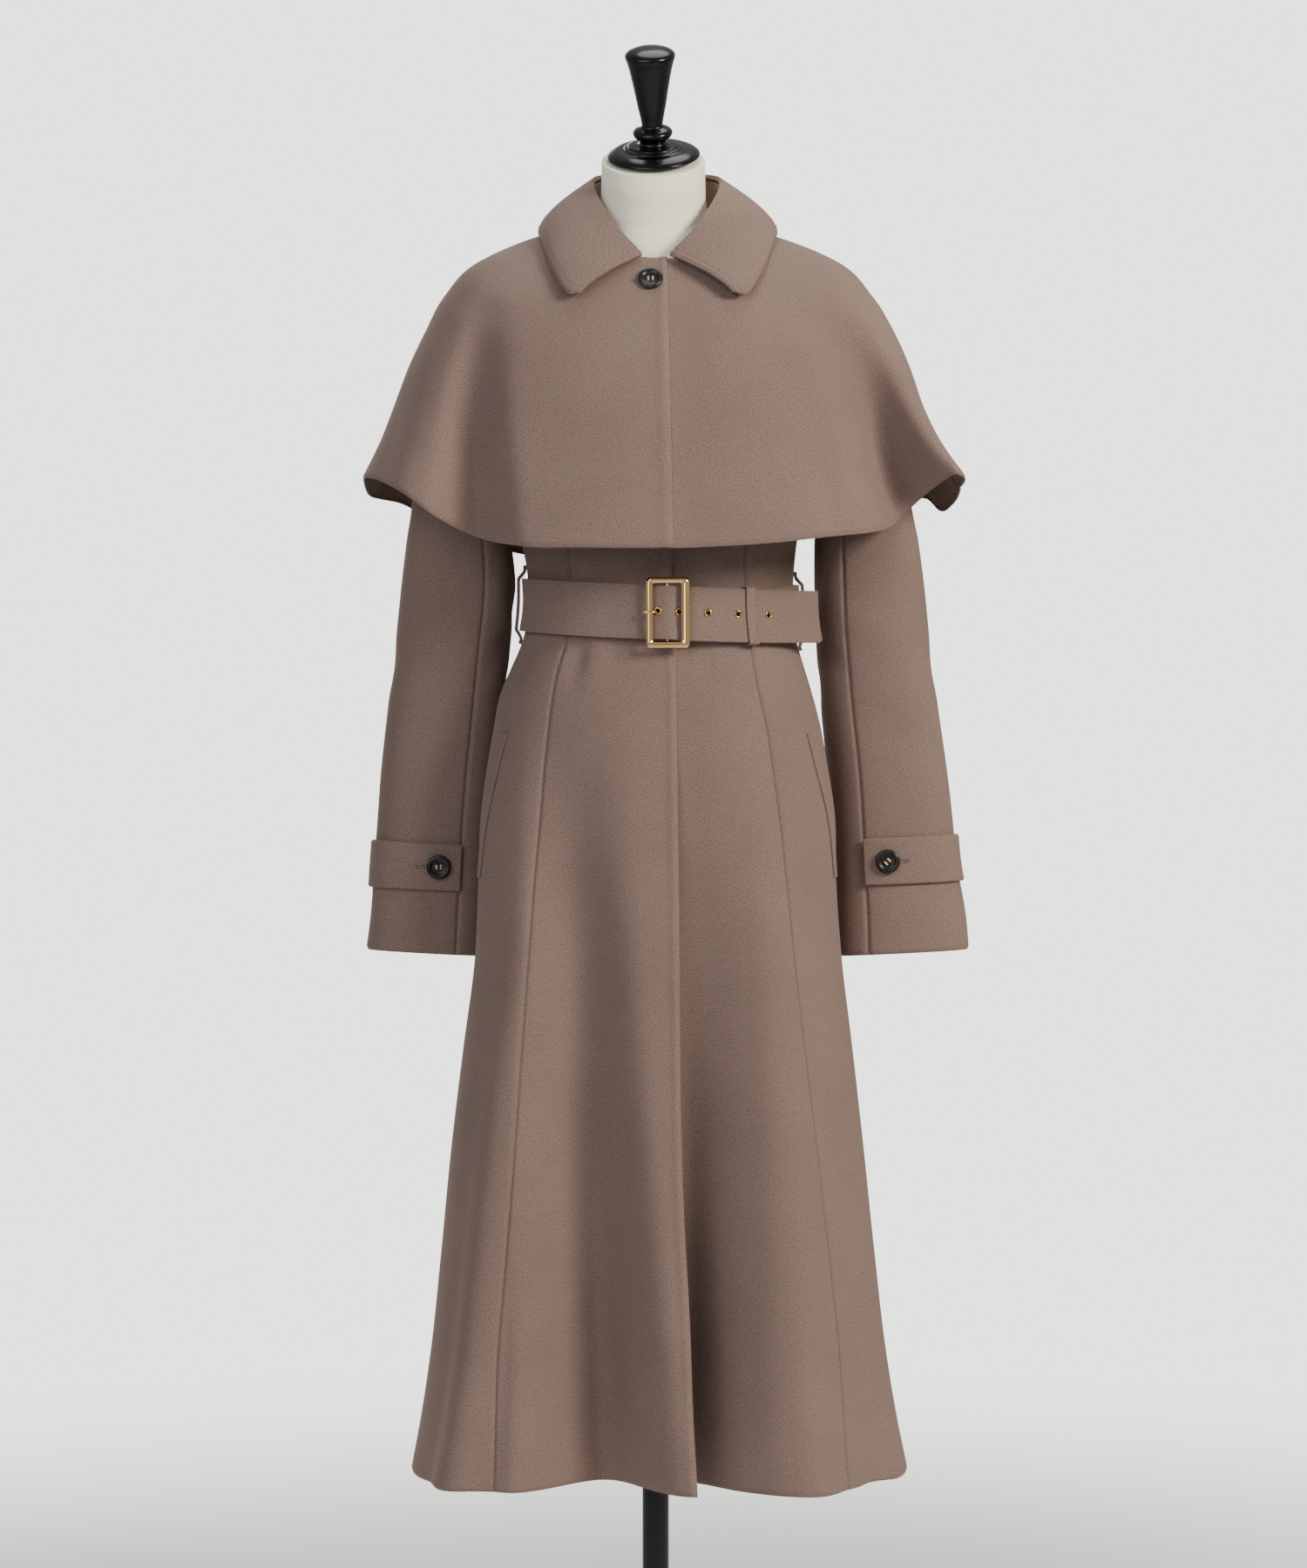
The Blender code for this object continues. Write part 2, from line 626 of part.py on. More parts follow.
# ---- sleeves ------------------------------------------------------------------------------
def sleeve_surface(side):
    """Surface of a sleeve: degrees run from its front line inwards, level 0 is the cuff.
    side is -1 for the wearer's right and 1 for the left."""
    inner_column, outer_column = (3, 4) if side < 0 else (5, 6)

    def surface(degrees, level):
        row = sleeve_table.at(level)
        inner = Vector((side * row[inner_column], row[7], row[1]))
        outer = Vector((side * row[outer_column], row[7], row[2]))
        s, c = math.sin(math.radians(degrees)), math.cos(math.radians(degrees))
        across = (inner - outer) / 2 * s * (1 + SLEEVE_ROUNDNESS * c * c)
        forward = Vector((0, row[8], 0)) * c * (1 + SLEEVE_ROUNDNESS * s * s)
        return (inner + outer) / 2 + across - forward
    return surface


def armhole_ring(side, out, grow):
    """Points round the armhole, matched to the sleeve's degrees, off the body's surface."""
    def point(degrees):
        angle = math.radians(degrees)
        height = ARM_HEIGHT - (ARM_HALF_HEIGHT + grow) * math.sin(angle)
        swing = (ARM_HALF_ANGLE + math.degrees(grow / ARM_DISTANCE)) * math.cos(angle)
        return off_surface(body_surface, side * (90 - swing), height, out)
    return point


def sleeve_piece(name, side, low, high, columns):
    surface = sleeve_surface(side)
    levels = range(len(SLEEVE))
    outer, inner = [], []
    for level in levels:
        gap = math.degrees(SEAM_GAP / 2 / SLEEVE_RADIUS)
        angles = np.linspace(low + gap, high - gap, columns + 1)
        if side > 0:
            angles = angles[::-1]
        outer.append([off_surface(surface, a, level, 0.0, 1.0, 0.05) for a in angles])
        inner.append([off_surface(surface, a, level, side * CLOTH, 1.0, 0.05) for a in angles])
    on_body_outer = armhole_ring(side, ARMHOLE_OUT, ARMHOLE_GROW)
    on_body_inner = armhole_ring(side, ARMHOLE_OUT, ARMHOLE_GROW_IN)
    outer.append([on_body_outer(a) for a in angles])
    inner.append([on_body_inner(a) for a in angles])
    return object_from(name, wall_bmesh(outer, inner), wool)


def make_sleeves():
    for side, word in ((-1, "right"), (1, "left")):
        sleeve_piece("under_sleeve_" + word, side, SLEEVE_SEAM_FRONT, SLEEVE_SEAM_BACK, 6)
        sleeve_piece("top_sleeve_" + word, side, SLEEVE_SEAM_BACK - 360, SLEEVE_SEAM_FRONT,
                     TOP_SPANS)


# ---- collar -------------------------------------------------------------------------------
def collar_line(along, first):
    """One of the collar's three lines: along is 0 at the left front, 1 behind, 2 at the right."""
    row = collar_table.at(along if along <= 1 else 2 - along)
    x, y, z = row[first:first + 3]
    return Vector((x * COLLAR_LEFT_WIDER if along <= 1 else -x, y, z))


def leaf_surface(along, down):
    """The collar's leaf: down is 0 at the roll and 1 at its outer edge."""
    roll, edge = collar_line(along, 4), collar_line(along, 7)
    fullness = math.sin(math.pi * (1 - min(max(down, 0.0), 1.0)) ** LEAF_FULLNESS)
    rounded = Vector((0, 0, LEAF_CROWN * fullness))
    return roll.lerp(edge, down) + rounded


def stand_surface(along, up):
    base, roll = collar_line(along, 1), collar_line(along, 4)
    return base.lerp(roll, up * (1 - STAND_DROP / (roll - base).length))


def two_sided(name, surface, alongs, ups, thick, out=0.0):
    outer, inner = [], []
    for up in ups:
        outer.append([off_surface(surface, a, up, out, 0.01, 0.02) for a in alongs])
        inner.append([off_surface(surface, a, up, out - thick, 0.01, 0.02) for a in alongs])
    return object_from(name, wall_bmesh(outer, inner), wool)


def make_collar():
    alongs = np.linspace(0, 2, 25)
    leaf = lambda along, up: leaf_surface(along, 1 - up)
    two_sided("collar_leaf", leaf, alongs, np.linspace(0, 1, 5), COLLAR_THICK)
    two_sided("collar_stand", stand_surface, alongs[1:-1], np.linspace(0, 1, 3), STAND_THICK,
              -STAND_THICK / 2)


# ---- pieces that lie on a panel ------------------------------------------------------------
def laid_on(name, points_at, rows, columns, off, thick):
    """A flat piece made from a surface's points, moved out and given a thickness."""
    outer = [[points_at(i, j, off + thick) for j in range(columns)] for i in range(rows)]
    inner = [[points_at(i, j, off) for j in range(columns)] for i in range(rows)]
    return object_from(name, wall_bmesh(outer, inner), wool)


def make_welts():
    heights = np.linspace(WELT[0][0], WELT[-1][0], 9)
    for side, word in ((-1, "right"), (1, "left")):
        def at(i, j, out):
            height = heights[i]
            half = (j - 1) * WELT_WIDTH / 2
            half_degrees = math.degrees(half / PANEL_RADIUS)
            angle = side * welt_table.at(height)[1] + half_degrees
            return off_surface(body_surface, angle, height, out)
        laid_on("pocket_welt_" + word, at, len(heights), 3, LAY_GAP, CLOTH)


def make_cuff_straps():
    for side, word in ((-1, "right"), (1, "left")):
        surface = sleeve_surface(side)
        angles = np.linspace(SLEEVE_SEAM_BACK - 360, SLEEVE_SEAM_FRONT, TOP_SPANS + 1)
        angles = angles[STRAP_FROM:]
        if side > 0:
            angles = angles[::-1]
        levels = np.linspace(STRAP_LEVELS[0], STRAP_LEVELS[1], 3) + (STRAP_LEFT_RISE if side > 0 else 0)

        def at(i, j, out):
            return off_surface(surface, angles[j], levels[i], -side * out, 1.0, 0.05)
        laid_on("cuff_strap_" + word, at, 3, len(angles), LAY_GAP, STRAP_THICK)


# ---- belt ---------------------------------------------------------------------------------
def belt_middle(degrees):
    """Height of the belt's middle: it dips at the front and to the wearer's left."""
    angle = math.radians(degrees)
    up, down = ease((degrees - RISE_FROM) / RISE_OVER), ease((degrees - FALL_FROM) / FALL_OVER)
    rise = FIRST_RISE * up * (1 - down)
    dip = BELT_FRONT_DIP * math.cos(angle) + BELT_LEFT_DIP * math.sin(angle)
    return BELT_HEIGHT + rise - dip


def belt_off(degrees):
    """How far the belt's inner face stands off the coat, by degrees along the strip."""
    over = ease((degrees - LAP_BEGINS) / LAP_CLIMB)
    hump = max(0.0, 1 - abs(degrees - 360 - BUCKLE_MID) / HUMP_REACH)
    return BELT_OFF + BELT_LAP * over + BUCKLE_HUMP * ease(hump)


def belt_point(degrees, up, out):
    """Point of the belt: up runs from -1 at its lower edge to 1 at its upper edge."""
    height = belt_middle(degrees) + up * BELT_WIDTH / 2
    point = off_surface(body_surface, degrees % 360, height, belt_off(degrees) + out)
    past = max(0.0, (degrees - TAIL_BEGINS) / TAIL_CLIMB)
    return pushed(point, TAIL_LIFT * past ** TAIL_CURL)


def make_belt():
    flats = [degrees + away for degrees in EYELETS for away in (-EYELET_FLAT, EYELET_FLAT)]
    even = [*np.arange(BELT_START, LAP_BEGINS, BELT_STEP),
            *np.arange(LAP_BEGINS + 2, 360.0, LAP_STEP), 360 + BUCKLE_MID,
            *np.linspace(PAST_BUCKLE, BELT_END, 17)]
    spare = [a for a in even if min(abs(a - flat) for flat in flats) > CLOSEST
             and min(abs(a - degrees) for degrees in EYELETS) > EYELET_FLAT]
    stations = sorted(spare + flats)
    outer = [[belt_point(a, up, BELT_THICK) for a in stations] for up in (-1, 0, 1)]
    inner = [[belt_point(a, up, 0.0) for a in stations] for up in (-1, 0, 1)]
    belt = object_from("belt", wall_bmesh(outer, inner), wool)
    for k, degrees in enumerate(EYELETS):
        cutter = turned("eyelet_cutter_%d" % (k + 1), EYELET_CUTTER, 8, wool, CUTTERS)
        place_on_belt(cutter, degrees, -0.002)
        cutter.hide_render = True
        cutter.display_type = "WIRE"
        cut = belt.modifiers.new("eyelet_%d" % (k + 1), "BOOLEAN")
        cut.operation = "DIFFERENCE"
        cut.solver = "EXACT"
        cut.object = cutter


def belt_frame(degrees, out, up=0.0):
    """Place on the belt's outer face, with local Z outwards and local Y up the belt."""
    low = belt_point(degrees - EYELET_FLAT, up, BELT_THICK)
    high = belt_point(degrees + EYELET_FLAT, up, BELT_THICK)
    side = (high - low).normalized()
    above = belt_point(degrees, 1, BELT_THICK) - belt_point(degrees, 0, BELT_THICK)
    out_way = side.cross(above).normalized()
    turn = Matrix((side, out_way.cross(side), out_way)).transposed().to_4x4()
    return Matrix.Translation((low + high) / 2 + out_way * out) @ turn


def place_on_belt(thing, degrees, out):
    thing.matrix_world = belt_frame(degrees, out, EYELET_RISE)


def turned(name, profile, steps, material, collection=None):
    """A turned shape: its profile's radii and heights run down the outside, top to bottom."""
    mesh = bpy.data.meshes.new(name)
    verts = [(radius, 0, height) for radius, height in profile]
    mesh.from_pydata(verts, [(k, k + 1) for k in range(len(verts) - 1)], [])
    finish = material.copy()
    finish.name = name + "_finish"
    mesh.materials.append(finish)
    made = bpy.data.objects.new(name, mesh)
    (collection or PARTS).objects.link(made)
    screw = made.modifiers.new("turn", "SCREW")
    screw.steps = screw.render_steps = steps
    screw.use_merge_vertices = True
    screw.merge_threshold = 0.00001
    screw.use_smooth_shade = True
    return made


def make_eyelets():
    for k, degrees in enumerate(EYELETS):
        ring = turned("eyelet_%d" % (k + 1), EYELET_PROFILE, 10, gold)
        place_on_belt(ring, degrees, 0.0)


def make_keeper():
    """Loop of cloth round both turns of the belt, clear of the coat."""
    half = math.degrees(KEEPER_WIDTH / 2 / BELT_RADIUS)
    inside = belt_off(KEEPER_ANGLE) - KEEPER_GAP
    outside = belt_off(360 + KEEPER_ANGLE) + BELT_THICK + KEEPER_GAP
    tall = BELT_WIDTH / 2 + KEEPER_GAP

    def corner(degrees, out, up):
        return off_surface(body_surface, degrees, belt_middle(degrees) + up, out)
    rows = []
    for off, rise in ((outside, -tall), (inside, -tall), (inside, 0), (inside, tall),
                      (outside, tall), (outside, 0)):
        thick_out = KEEPER_THICK if off == outside else -KEEPER_THICK
        thick_up = math.copysign(KEEPER_THICK, rise) if rise else 0.0
        rows.append((off, rise, thick_out, thick_up))
    angles = (KEEPER_ANGLE - half, KEEPER_ANGLE + half)
    outer = [[corner(a, o + to, r + tu) for o, r, to, tu in rows] for a in angles]
    inner = [[corner(a, o, r) for o, r, to, tu in rows] for a in angles]
    object_from("belt_keeper", wall_bmesh(outer, inner, closed_round=True), wool)


def make_belt_loops():
    """Carriers on the side seams: a strip that stands off over the belt."""
    for side, word, degrees in ((-1, "right", 270.0), (1, "left", 90.0)):
        half = math.degrees(LOOP_WIDTH / 2 / SIDE_RADIUS)
        middle = belt_middle(degrees)
        stand_off = belt_off(degrees) + BELT_THICK + LOOP_SLACK
        rows = ((-1.20, LAY_GAP), (-1.14, LAY_GAP + 0.0006), (-1.04, stand_off),
                (0, stand_off + 0.0008), (1.04, stand_off), (1.14, LAY_GAP + 0.0006),
                (1.20, LAY_GAP))

        def at(i, j, out):
            up, off = rows[i]
            height = middle + up * BELT_WIDTH / 2
            return off_surface(body_surface, degrees + (j * 2 - 1) * half, height, off + out)
        laid_on("belt_loop_" + word, at, len(rows), 2, 0.0, LOOP_THICK)


# ---- buckle and buttons -------------------------------------------------------------------
def make_buckle():
    place = belt_frame(360 + BUCKLE_MID, 0.0)
    tilt = Matrix.Rotation(math.radians(BUCKLE_TILT), 4, "Z")
    bm = bmesh.new()
    width, height, bar = BUCKLE_WIDTH / 2, BUCKLE_HEIGHT / 2, BUCKLE_BAR
    outline = [(-width, -height), (width, -height), (width, height), (-width, height)]
    opening = [(x - math.copysign(bar, x), y - math.copysign(bar, y)) for x, y in outline]
    bevel = BUCKLE_THICK / 3
    loops = []
    for ring, z, inset in ((outline, 0, 0), (outline, 2 * bevel, 0), (outline, 3 * bevel, bevel),
                           (opening, 3 * bevel, -bevel), (opening, 2 * bevel, 0), (opening, 0, 0)):
        loops.append([bm.verts.new((x - math.copysign(inset, x), y - math.copysign(inset, y), z))
                      for x, y in ring])
    for k in range(len(loops)):
        here, there = loops[k], loops[(k + 1) % len(loops)]
        for j in range(4):
            m = (j + 1) % 4
            bm.faces.new((here[j], here[m], there[m], there[j]))
    frame = object_from("buckle_frame", bm, gold)
    frame.matrix_world = place @ tilt @ Matrix.Translation((0, 0, BUCKLE_LIFT))

    bar_length = BUCKLE_HEIGHT - 2 * BUCKLE_BAR
    bm = bmesh.new()
    bmesh.ops.create_cone(bm, cap_ends=True, segments=10, radius1=CENTRE_BAR, radius2=CENTRE_BAR,
                          depth=bar_length - 2 * SEAM_GAP)
    centre = object_from("buckle_centre_bar", bm, gold, 40)
    behind = -BELT_THICK - CENTRE_BAR - BAR_GAP
    centre.matrix_world = (place @ tilt @ Matrix.Translation((0, 0, behind))
                           @ Matrix.Rotation(math.radians(90), 4, "X"))

    bm = bmesh.new()
    length = PRONG_END - PRONG_START
    bmesh.ops.create_cone(bm, cap_ends=True, segments=10, radius1=PRONG_RADIUS,
                          radius2=PRONG_RADIUS * 0.8, depth=length)
    prong = object_from("buckle_prong", bm, gold, 40)
    over = BUCKLE_LIFT + BUCKLE_THICK + PRONG_RADIUS + SEAM_GAP
    prong.matrix_world = (place @ tilt
                          @ Matrix.Translation(((PRONG_START + PRONG_END) / 2, 0.0005, over))
                          @ Matrix.Rotation(math.radians(-90), 4, "Y"))


def frame_on(surface, across, up, out, step_across, step_up, sign=1):
    """Place on a surface, with local Z along its outward normal."""
    here = surface(across, up)
    side = surface(across + step_across, up) - surface(across - step_across, up)
    rise = surface(across, up + step_up) - surface(across, up - step_up)
    normal = side.cross(rise).normalized() * sign
    side = side.normalized() * sign
    turn = Matrix((side, normal.cross(side), normal)).transposed().to_4x4()
    return Matrix.Translation(here + normal * out) @ turn


def make_buttons():
    button = turned("button_collar", BUTTON_PROFILE, 16, horn)
    angle = angle_of_x(cape_surface, COLLAR_BUTTON_X, COLLAR_BUTTON_HEIGHT)
    button.matrix_world = frame_on(cape_surface, angle, COLLAR_BUTTON_HEIGHT, LAY_GAP, 1.0, 0.004)
    for side, word in ((-1, "right"), (1, "left")):
        surface = sleeve_surface(side)
        level = sum(STRAP_LEVELS) / 2 + (STRAP_LEFT_RISE if side > 0 else 0)
        out = LAY_GAP * 2 + STRAP_THICK
        button = turned("button_cuff_" + word, BUTTON_PROFILE, 16, horn)
        button.matrix_world = frame_on(surface, CUFF_BUTTON, level, out, 1.0, 0.05, -side)


# ---- dress form ---------------------------------------------------------------------------
def make_form():
    """Torso that fills the coat with room to spare, with its neck, as one closed loft."""
    angles = np.linspace(0, 360, FORM_SIDES + 1)[:-1]
    rings = []
    for height, shrink in FORM_RINGS:
        rings.append([pushed(ring_point(body_table.at(height), a), -FORM_CLEARANCE - shrink)
                      for a in angles])
    for y_mid, z_mid, half_width, half_depth, lean in NECK:
        lean = math.radians(lean)
        forward = Vector((0, math.cos(lean), math.sin(lean)))
        middle = Vector((CAP_SEAT.x, y_mid, z_mid))
        rings.append([middle + Vector((half_width, 0, 0)) * math.sin(math.radians(a))
                      - forward * half_depth * math.cos(math.radians(a)) for a in angles])
    bm = bmesh.new()
    loops = [[bm.verts.new(p) for p in ring] for ring in rings]
    for here, there in zip(loops, loops[1:]):
        for j in range(FORM_SIDES):
            k = (j + 1) % FORM_SIDES
            bm.faces.new((here[j], here[k], there[k], there[j]))
    bm.faces.new(loops[0][::-1])
    bm.faces.new(loops[-1])
    object_from("form_torso", bm, linen, 50)


def make_stand():
    cap = turned("neck_cap", CAP_PROFILE, 20, lacquer)
    lean = Matrix.Rotation(math.radians(CAP_LEAN), 4, "X")
    aside = Matrix.Rotation(math.radians(CAP_SIDE_LEAN), 4, "Y")
    cap.matrix_world = Matrix.Translation(CAP_SEAT) @ aside @ lean @ Matrix.Translation((0, 0, .0022))

    pole_bottom = HUB_HEIGHT + SEAM_GAP
    pole_top = FORM_RINGS[0][0] - SEAM_GAP
    bm = bmesh.new()
    bmesh.ops.create_cone(bm, cap_ends=True, segments=24, radius1=POLE_RADIUS,
                          radius2=POLE_RADIUS, depth=pole_top - pole_bottom)
    pole = object_from("pole", bm, lacquer, 40)
    pole.location.z = (pole_top + pole_bottom) / 2

    base = turned("base", BASE_PROFILE, 40, lacquer)
    base.location.z = 0.0


# ---- start --------------------------------------------------------------------------------
clear_scene()
PARTS = make_collection("cape_coat")
CUTTERS = make_collection("cutters")
wool = make_material("wool", WOOL, 0.9)
linen = make_material("linen", LINEN, 0.85)
lacquer = make_material("lacquer", LACQUER, 0.25)
gold = make_material("gold", GOLD, 0.2, 1.0)
horn = make_material("horn", HORN, 0.35)

make_body()
make_cape()
make_sleeves()
make_collar()
make_welts()
make_cuff_straps()
make_belt()
make_eyelets()
make_keeper()
make_belt_loops()
make_buckle()
make_buttons()
make_form()
make_stand()
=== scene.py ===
"""Looks of the belted wool cape coat on its dress form. Metres, +Z up, front towards -Y."""
import math

import bmesh
import bpy
import numpy as np
from mathutils import Matrix, Vector


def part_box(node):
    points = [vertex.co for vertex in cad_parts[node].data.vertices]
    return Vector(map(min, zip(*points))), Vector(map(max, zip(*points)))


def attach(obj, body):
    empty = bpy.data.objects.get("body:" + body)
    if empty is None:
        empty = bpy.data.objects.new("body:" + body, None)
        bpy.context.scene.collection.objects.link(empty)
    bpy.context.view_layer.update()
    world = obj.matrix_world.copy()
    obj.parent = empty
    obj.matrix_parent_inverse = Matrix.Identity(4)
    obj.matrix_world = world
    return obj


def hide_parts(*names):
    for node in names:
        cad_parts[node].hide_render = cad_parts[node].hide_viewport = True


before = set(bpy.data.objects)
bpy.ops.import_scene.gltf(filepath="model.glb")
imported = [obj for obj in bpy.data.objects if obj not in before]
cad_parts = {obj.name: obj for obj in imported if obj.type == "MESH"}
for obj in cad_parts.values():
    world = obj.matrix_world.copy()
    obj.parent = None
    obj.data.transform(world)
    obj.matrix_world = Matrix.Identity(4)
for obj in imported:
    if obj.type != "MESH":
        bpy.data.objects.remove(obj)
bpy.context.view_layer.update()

MM = 0.001
scene = bpy.context.scene

# ---- sizes shared with the frame ------------------------------------------------------------
SIDES = ((-1, "right"), (1, "left"))     # sign of X and the wearer's side
CLOTH = 2.0 * MM         # felted wool coating, one layer
SEAM_GAP = 0.005 * MM    # between neighbouring faces, drawn closed up
LAY_GAP = 0.8 * MM       # between a piece and the panel that it lies on
HEM_HEIGHT = 0.247
ROUNDNESS = 0.08         # 0 gives an ellipse, more gives squarer shoulders and hips
DROP_CURVE = 1.6         # how sharply a ring's front and back drop away from its sides
UNDER_DEPTH = 2.8 * MM   # how far an under layer lies behind the layer on top
FORM_CLEARANCE = 8.5 * MM

ARM_HEIGHT = 1.297
ARM_HALF_HEIGHT = 0.060
ARM_HALF_ANGLE = 27.0
ARM_DISTANCE = 0.12      # from the body's axis to the armhole, for turning widths into degrees
PRINCESS_TOP = 1.270
TIP_ANGLE = 1.5
SLEEVE_ROUNDNESS = 0.14  # a sleeve's section is squarer than an ellipse

BELT_WIDTH = 51 * MM
BELT_THICK = 3.0 * MM
BELT_OFF = 3.0 * MM
BELT_LAP = 3.7 * MM
BELT_START = 7.5
BELT_END = 436.0
BELT_HEIGHT = 1.0535     # middle of the belt at the wearer's side
BELT_FRONT_DIP = 5.8 * MM
BELT_LEFT_DIP = 6.2 * MM
BELT_RADIUS = 0.115      # for turning widths on the belt into degrees
LAP_BEGINS = 340.0       # the second turn climbs over the first from here ...
LAP_CLIMB = 17.0         # ... over this many degrees
TAIL_BEGINS = 410.0      # the free tail leaves the coat from here on
TAIL_CLIMB = 26.0
TAIL_LIFT = 17 * MM
TAIL_CURVE = 1.6
KEEPER_ANGLE = 37.6
KEEPER_WIDTH = 9.0 * MM
KEEPER_THICK = 1.3 * MM
KEEPER_GAP = 0.6 * MM
BUCKLE_MID = 4.3
BUCKLE_HUMP = 3.4 * MM
HUMP_REACH = 7.5
FIRST_RISE = 6.0 * MM    # the first turn lies this much higher at the wearer's left
EYELETS = (360.75, 368.4, 379.4, 391.7, 406.7)
EYELET_RISE = 0.05       # they lie this share of the belt's half width above its middle
EYELET_FLAT = 2.2

SLEEVE_SEAM_FRONT = 27.0
SLEEVE_SEAM_BACK = 152.0
STRAP_LEVELS = (1.52, 2.50)
STRAP_LEFT_SHIFT = 0.12  # the left strap sits this share of a level higher
STRAP_THICK = 3.6 * MM
CUFF_BUTTON = 7.0

# Coat body, a row for each height on the side line: half widths to the wearer's right (-X) and
# left (+X), depths front and back, how much lower the ring is at the front and back, and how far
# from the middle the front and back princess seams run.
BODY = (
    # height, right, left, front, back, front_drop, back_drop, seam_right, seam_left, seam_back
    (0.247, .2300, .2370, .150, .172, 0, 0, .148, .177, .150),
    (0.300, .2203, .2262, .143, .164, 0, 0, .1466, .1735, .143),
    (0.360, .2115, .2165, .137, .156, 0, 0, .1452, .170, .136),
    (0.450, .2020, .2060, .129, .146, 0, 0, .138, .1605, .126),
    (0.550, .1923, .1956, .121, .137, 0, 0, .130, .1493, .117),
    (0.645, .1808, .1849, .114, .129, 0, 0, .1234, .138, .109),
    (0.727, .1702, .1751, .109, .124, 0, 0, .1176, .1286, .103),
    (0.800, .1669, .1698, .107, .121, 0, 0, .1123, .121, .098),
    (0.863, .1644, .1685, .107, .119, 0, 0, .1065, .1137, .093),
    (0.912, .1579, .1610, .106, .114, 0, 0, .1023, .107, .087),
    (0.945, .1522, .1552, .104, .109, 0, 0, .0985, .102, .082),
    (0.975, .1464, .1475, .101, .104, 0, 0, .0947, .095, .077),
    (1.000, .1360, .1400, .098, .099, 0, 0, .0895, .0905, .072),
    (1.022, .1265, .1335, .0955, .095, 0, 0, .0825, .087, .068),
    (1.055, .1195, .1290, .094, .091, 0, 0, .0785, .084, .066),
    (1.090, .1210, .1300, .0955, .091, 0, 0, .0795, .083, .068),
    (1.130, .1295, .1350, .104, .097, 0, 0, .084, .085, .076),
    (1.180, .1480, .1490, .118, .106, .003, .001, .098, .098, .092),
    (1.237, .1610, .1610, .126, .113, .014, .008, .130, .130, .126),
    (1.247, .1630, .1630, .127, .114, .018, .010, .1375, .1375, .136),
    (1.270, .1660, .1660, .127, .115, .027, .012, .1535, .1535, .1535),
    (1.297, .1690, .1690, .125, .114, .037, .014, 0, 0, 0),
    (1.325, .1700, .1700, .121, .109, .046, .012, 0, 0, 0),
    (1.347, .1660, .1660, .114, .102, .050, .006, 0, 0, 0),
    (1.357, .1610, .1610, .110, .098, .052, .002, 0, 0, 0),
    (1.382, .1240, .1240, .098, .087, .053, -.001, 0, 0, 0),
    (1.402, .0920, .0920, .086, .074, .048, -.006, 0, 0, 0),
    (1.416, .0670, .0670, .0745, .0610, .0435, -.010, 0, 0, 0),
)

# Where the right front's edge lies, by height at the front.
FRONT_EDGE = (
    # height, x
    (0.247, .0382),
    (0.314, .0343),
    (0.400, .0312),
    (0.500, .0258),
    (0.800, .0210),
    (1.000, .0187),
    (1.100, .0165),
    (1.300, .0125),
    (1.400, .0105),
)

# Soft folds of the skirt: they start at the top height and deepen to the hem. Minus is a trough.
SKIRT_FOLDS = (
    # angle_top, angle_hem, half_angle, depth, top
    (-46, -51, 14, .020, .85),
    (-29, -13, 21, -.085, .95),
    (40, 34.5, 14, .022, .88),
    (60, 59, 13, -.012, .62),
    (128, 130, 19, .012, .85),
    (153, 156, 16, -.018, .82),
    (180, 181, 14, .012, .85),
    (207, 205, 15, -.020, .82),
    (233, 232, 18, .012, .78),
)

# The left front hangs back from the right front that covers its edge.
UNDER_FOLDS = (
    # angle_top, angle_hem, half_angle, depth, top
    (13, 3, 24, -.080, .93),
)

# The cape, a row for each ring from neck to hem, by its height on the shoulder line.
CAPE = (
    # height, right, left, front, back, front_drop, back_drop
    (1.4195, .0715, .0715, .0795, .0660, .0425, -.0105),
    (1.4100, .1000, .1010, .0885, .0770, .0480, -.0070),
    (1.4010, .1260, .1285, .0970, .0880, .0540, -.0010),
    (1.3830, .1655, .1700, .1110, .1030, .0600, .0080),
    (1.3500, .1988, .2038, .1260, .1200, .0620, .0200),
    (1.3170, .2165, .2240, .1340, .1310, .0600, .0310),
    (1.2850, .2317, .2385, .1390, .1390, .0600, .0420),
    (1.2500, .2450, .2510, .1430, .1460, .0620, .0530),
    (1.2150, .2585, .2660, .1475, .1540, .0660, .0640),
    (1.1780, .2765, .2885, .1530, .1640, .0730, .0720),
)
SKIRT_SPREAD = 0.3       # under 1, folds reach to the front and back more than sideways
CAPE_SPREAD = 0.05
LIFT_TOP = 1.300         # the cape's lifts start at this height and are full at the hem
# How far the cape's hem lifts or drops round the body.
CAPE_LIFTS = (
    # degrees, lift
    (-180, 0),
    (-140, 0),
    (-120, .005),
    (-108, -.004),
    (-98, -.009),
    (-90, -.003),
    (-80, .004),
    (-66, .011),
    (-54, .010),
    (-44, 0),
    (-34, -.008),
    (-24, -.009),
    (-14, -.004),
    (0, -.001),
    (20, -.003),
    (32, -.006),
    (42, -.011),
    (50, -.010),
    (57, -.001),
    (63, .008),
    (68, .013),
    (74, .006),
    (80, -.003),
    (90, -.011),
    (102, -.016),
    (109, -.014),
    (116, .006),
    (124, .014),
    (136, .012),
    (150, .014),
    (165, .004),
    (180, 0),
)
CAPE_FOLDS = (
    # angle_top, angle_hem, half_angle, depth, top
    (-50, -35, 12, -.042, 1.37),
    (-66, -54, 15, .012, 1.33),
    (-6, -9, 18, .005, 1.30),
    (22, 20, 20, .004, 1.30),
    (49, 54, 15, -.066, 1.37),
    (70, 72, 12, .028, 1.34),
    (128, 122, 17, -.013, 1.36),
    (158, 152, 16, .006, 1.34),
    (184, 186, 13, -.008, 1.30),
    (208, 213, 16, .007, 1.34),
    (233, 241, 17, -.014, 1.36),
)

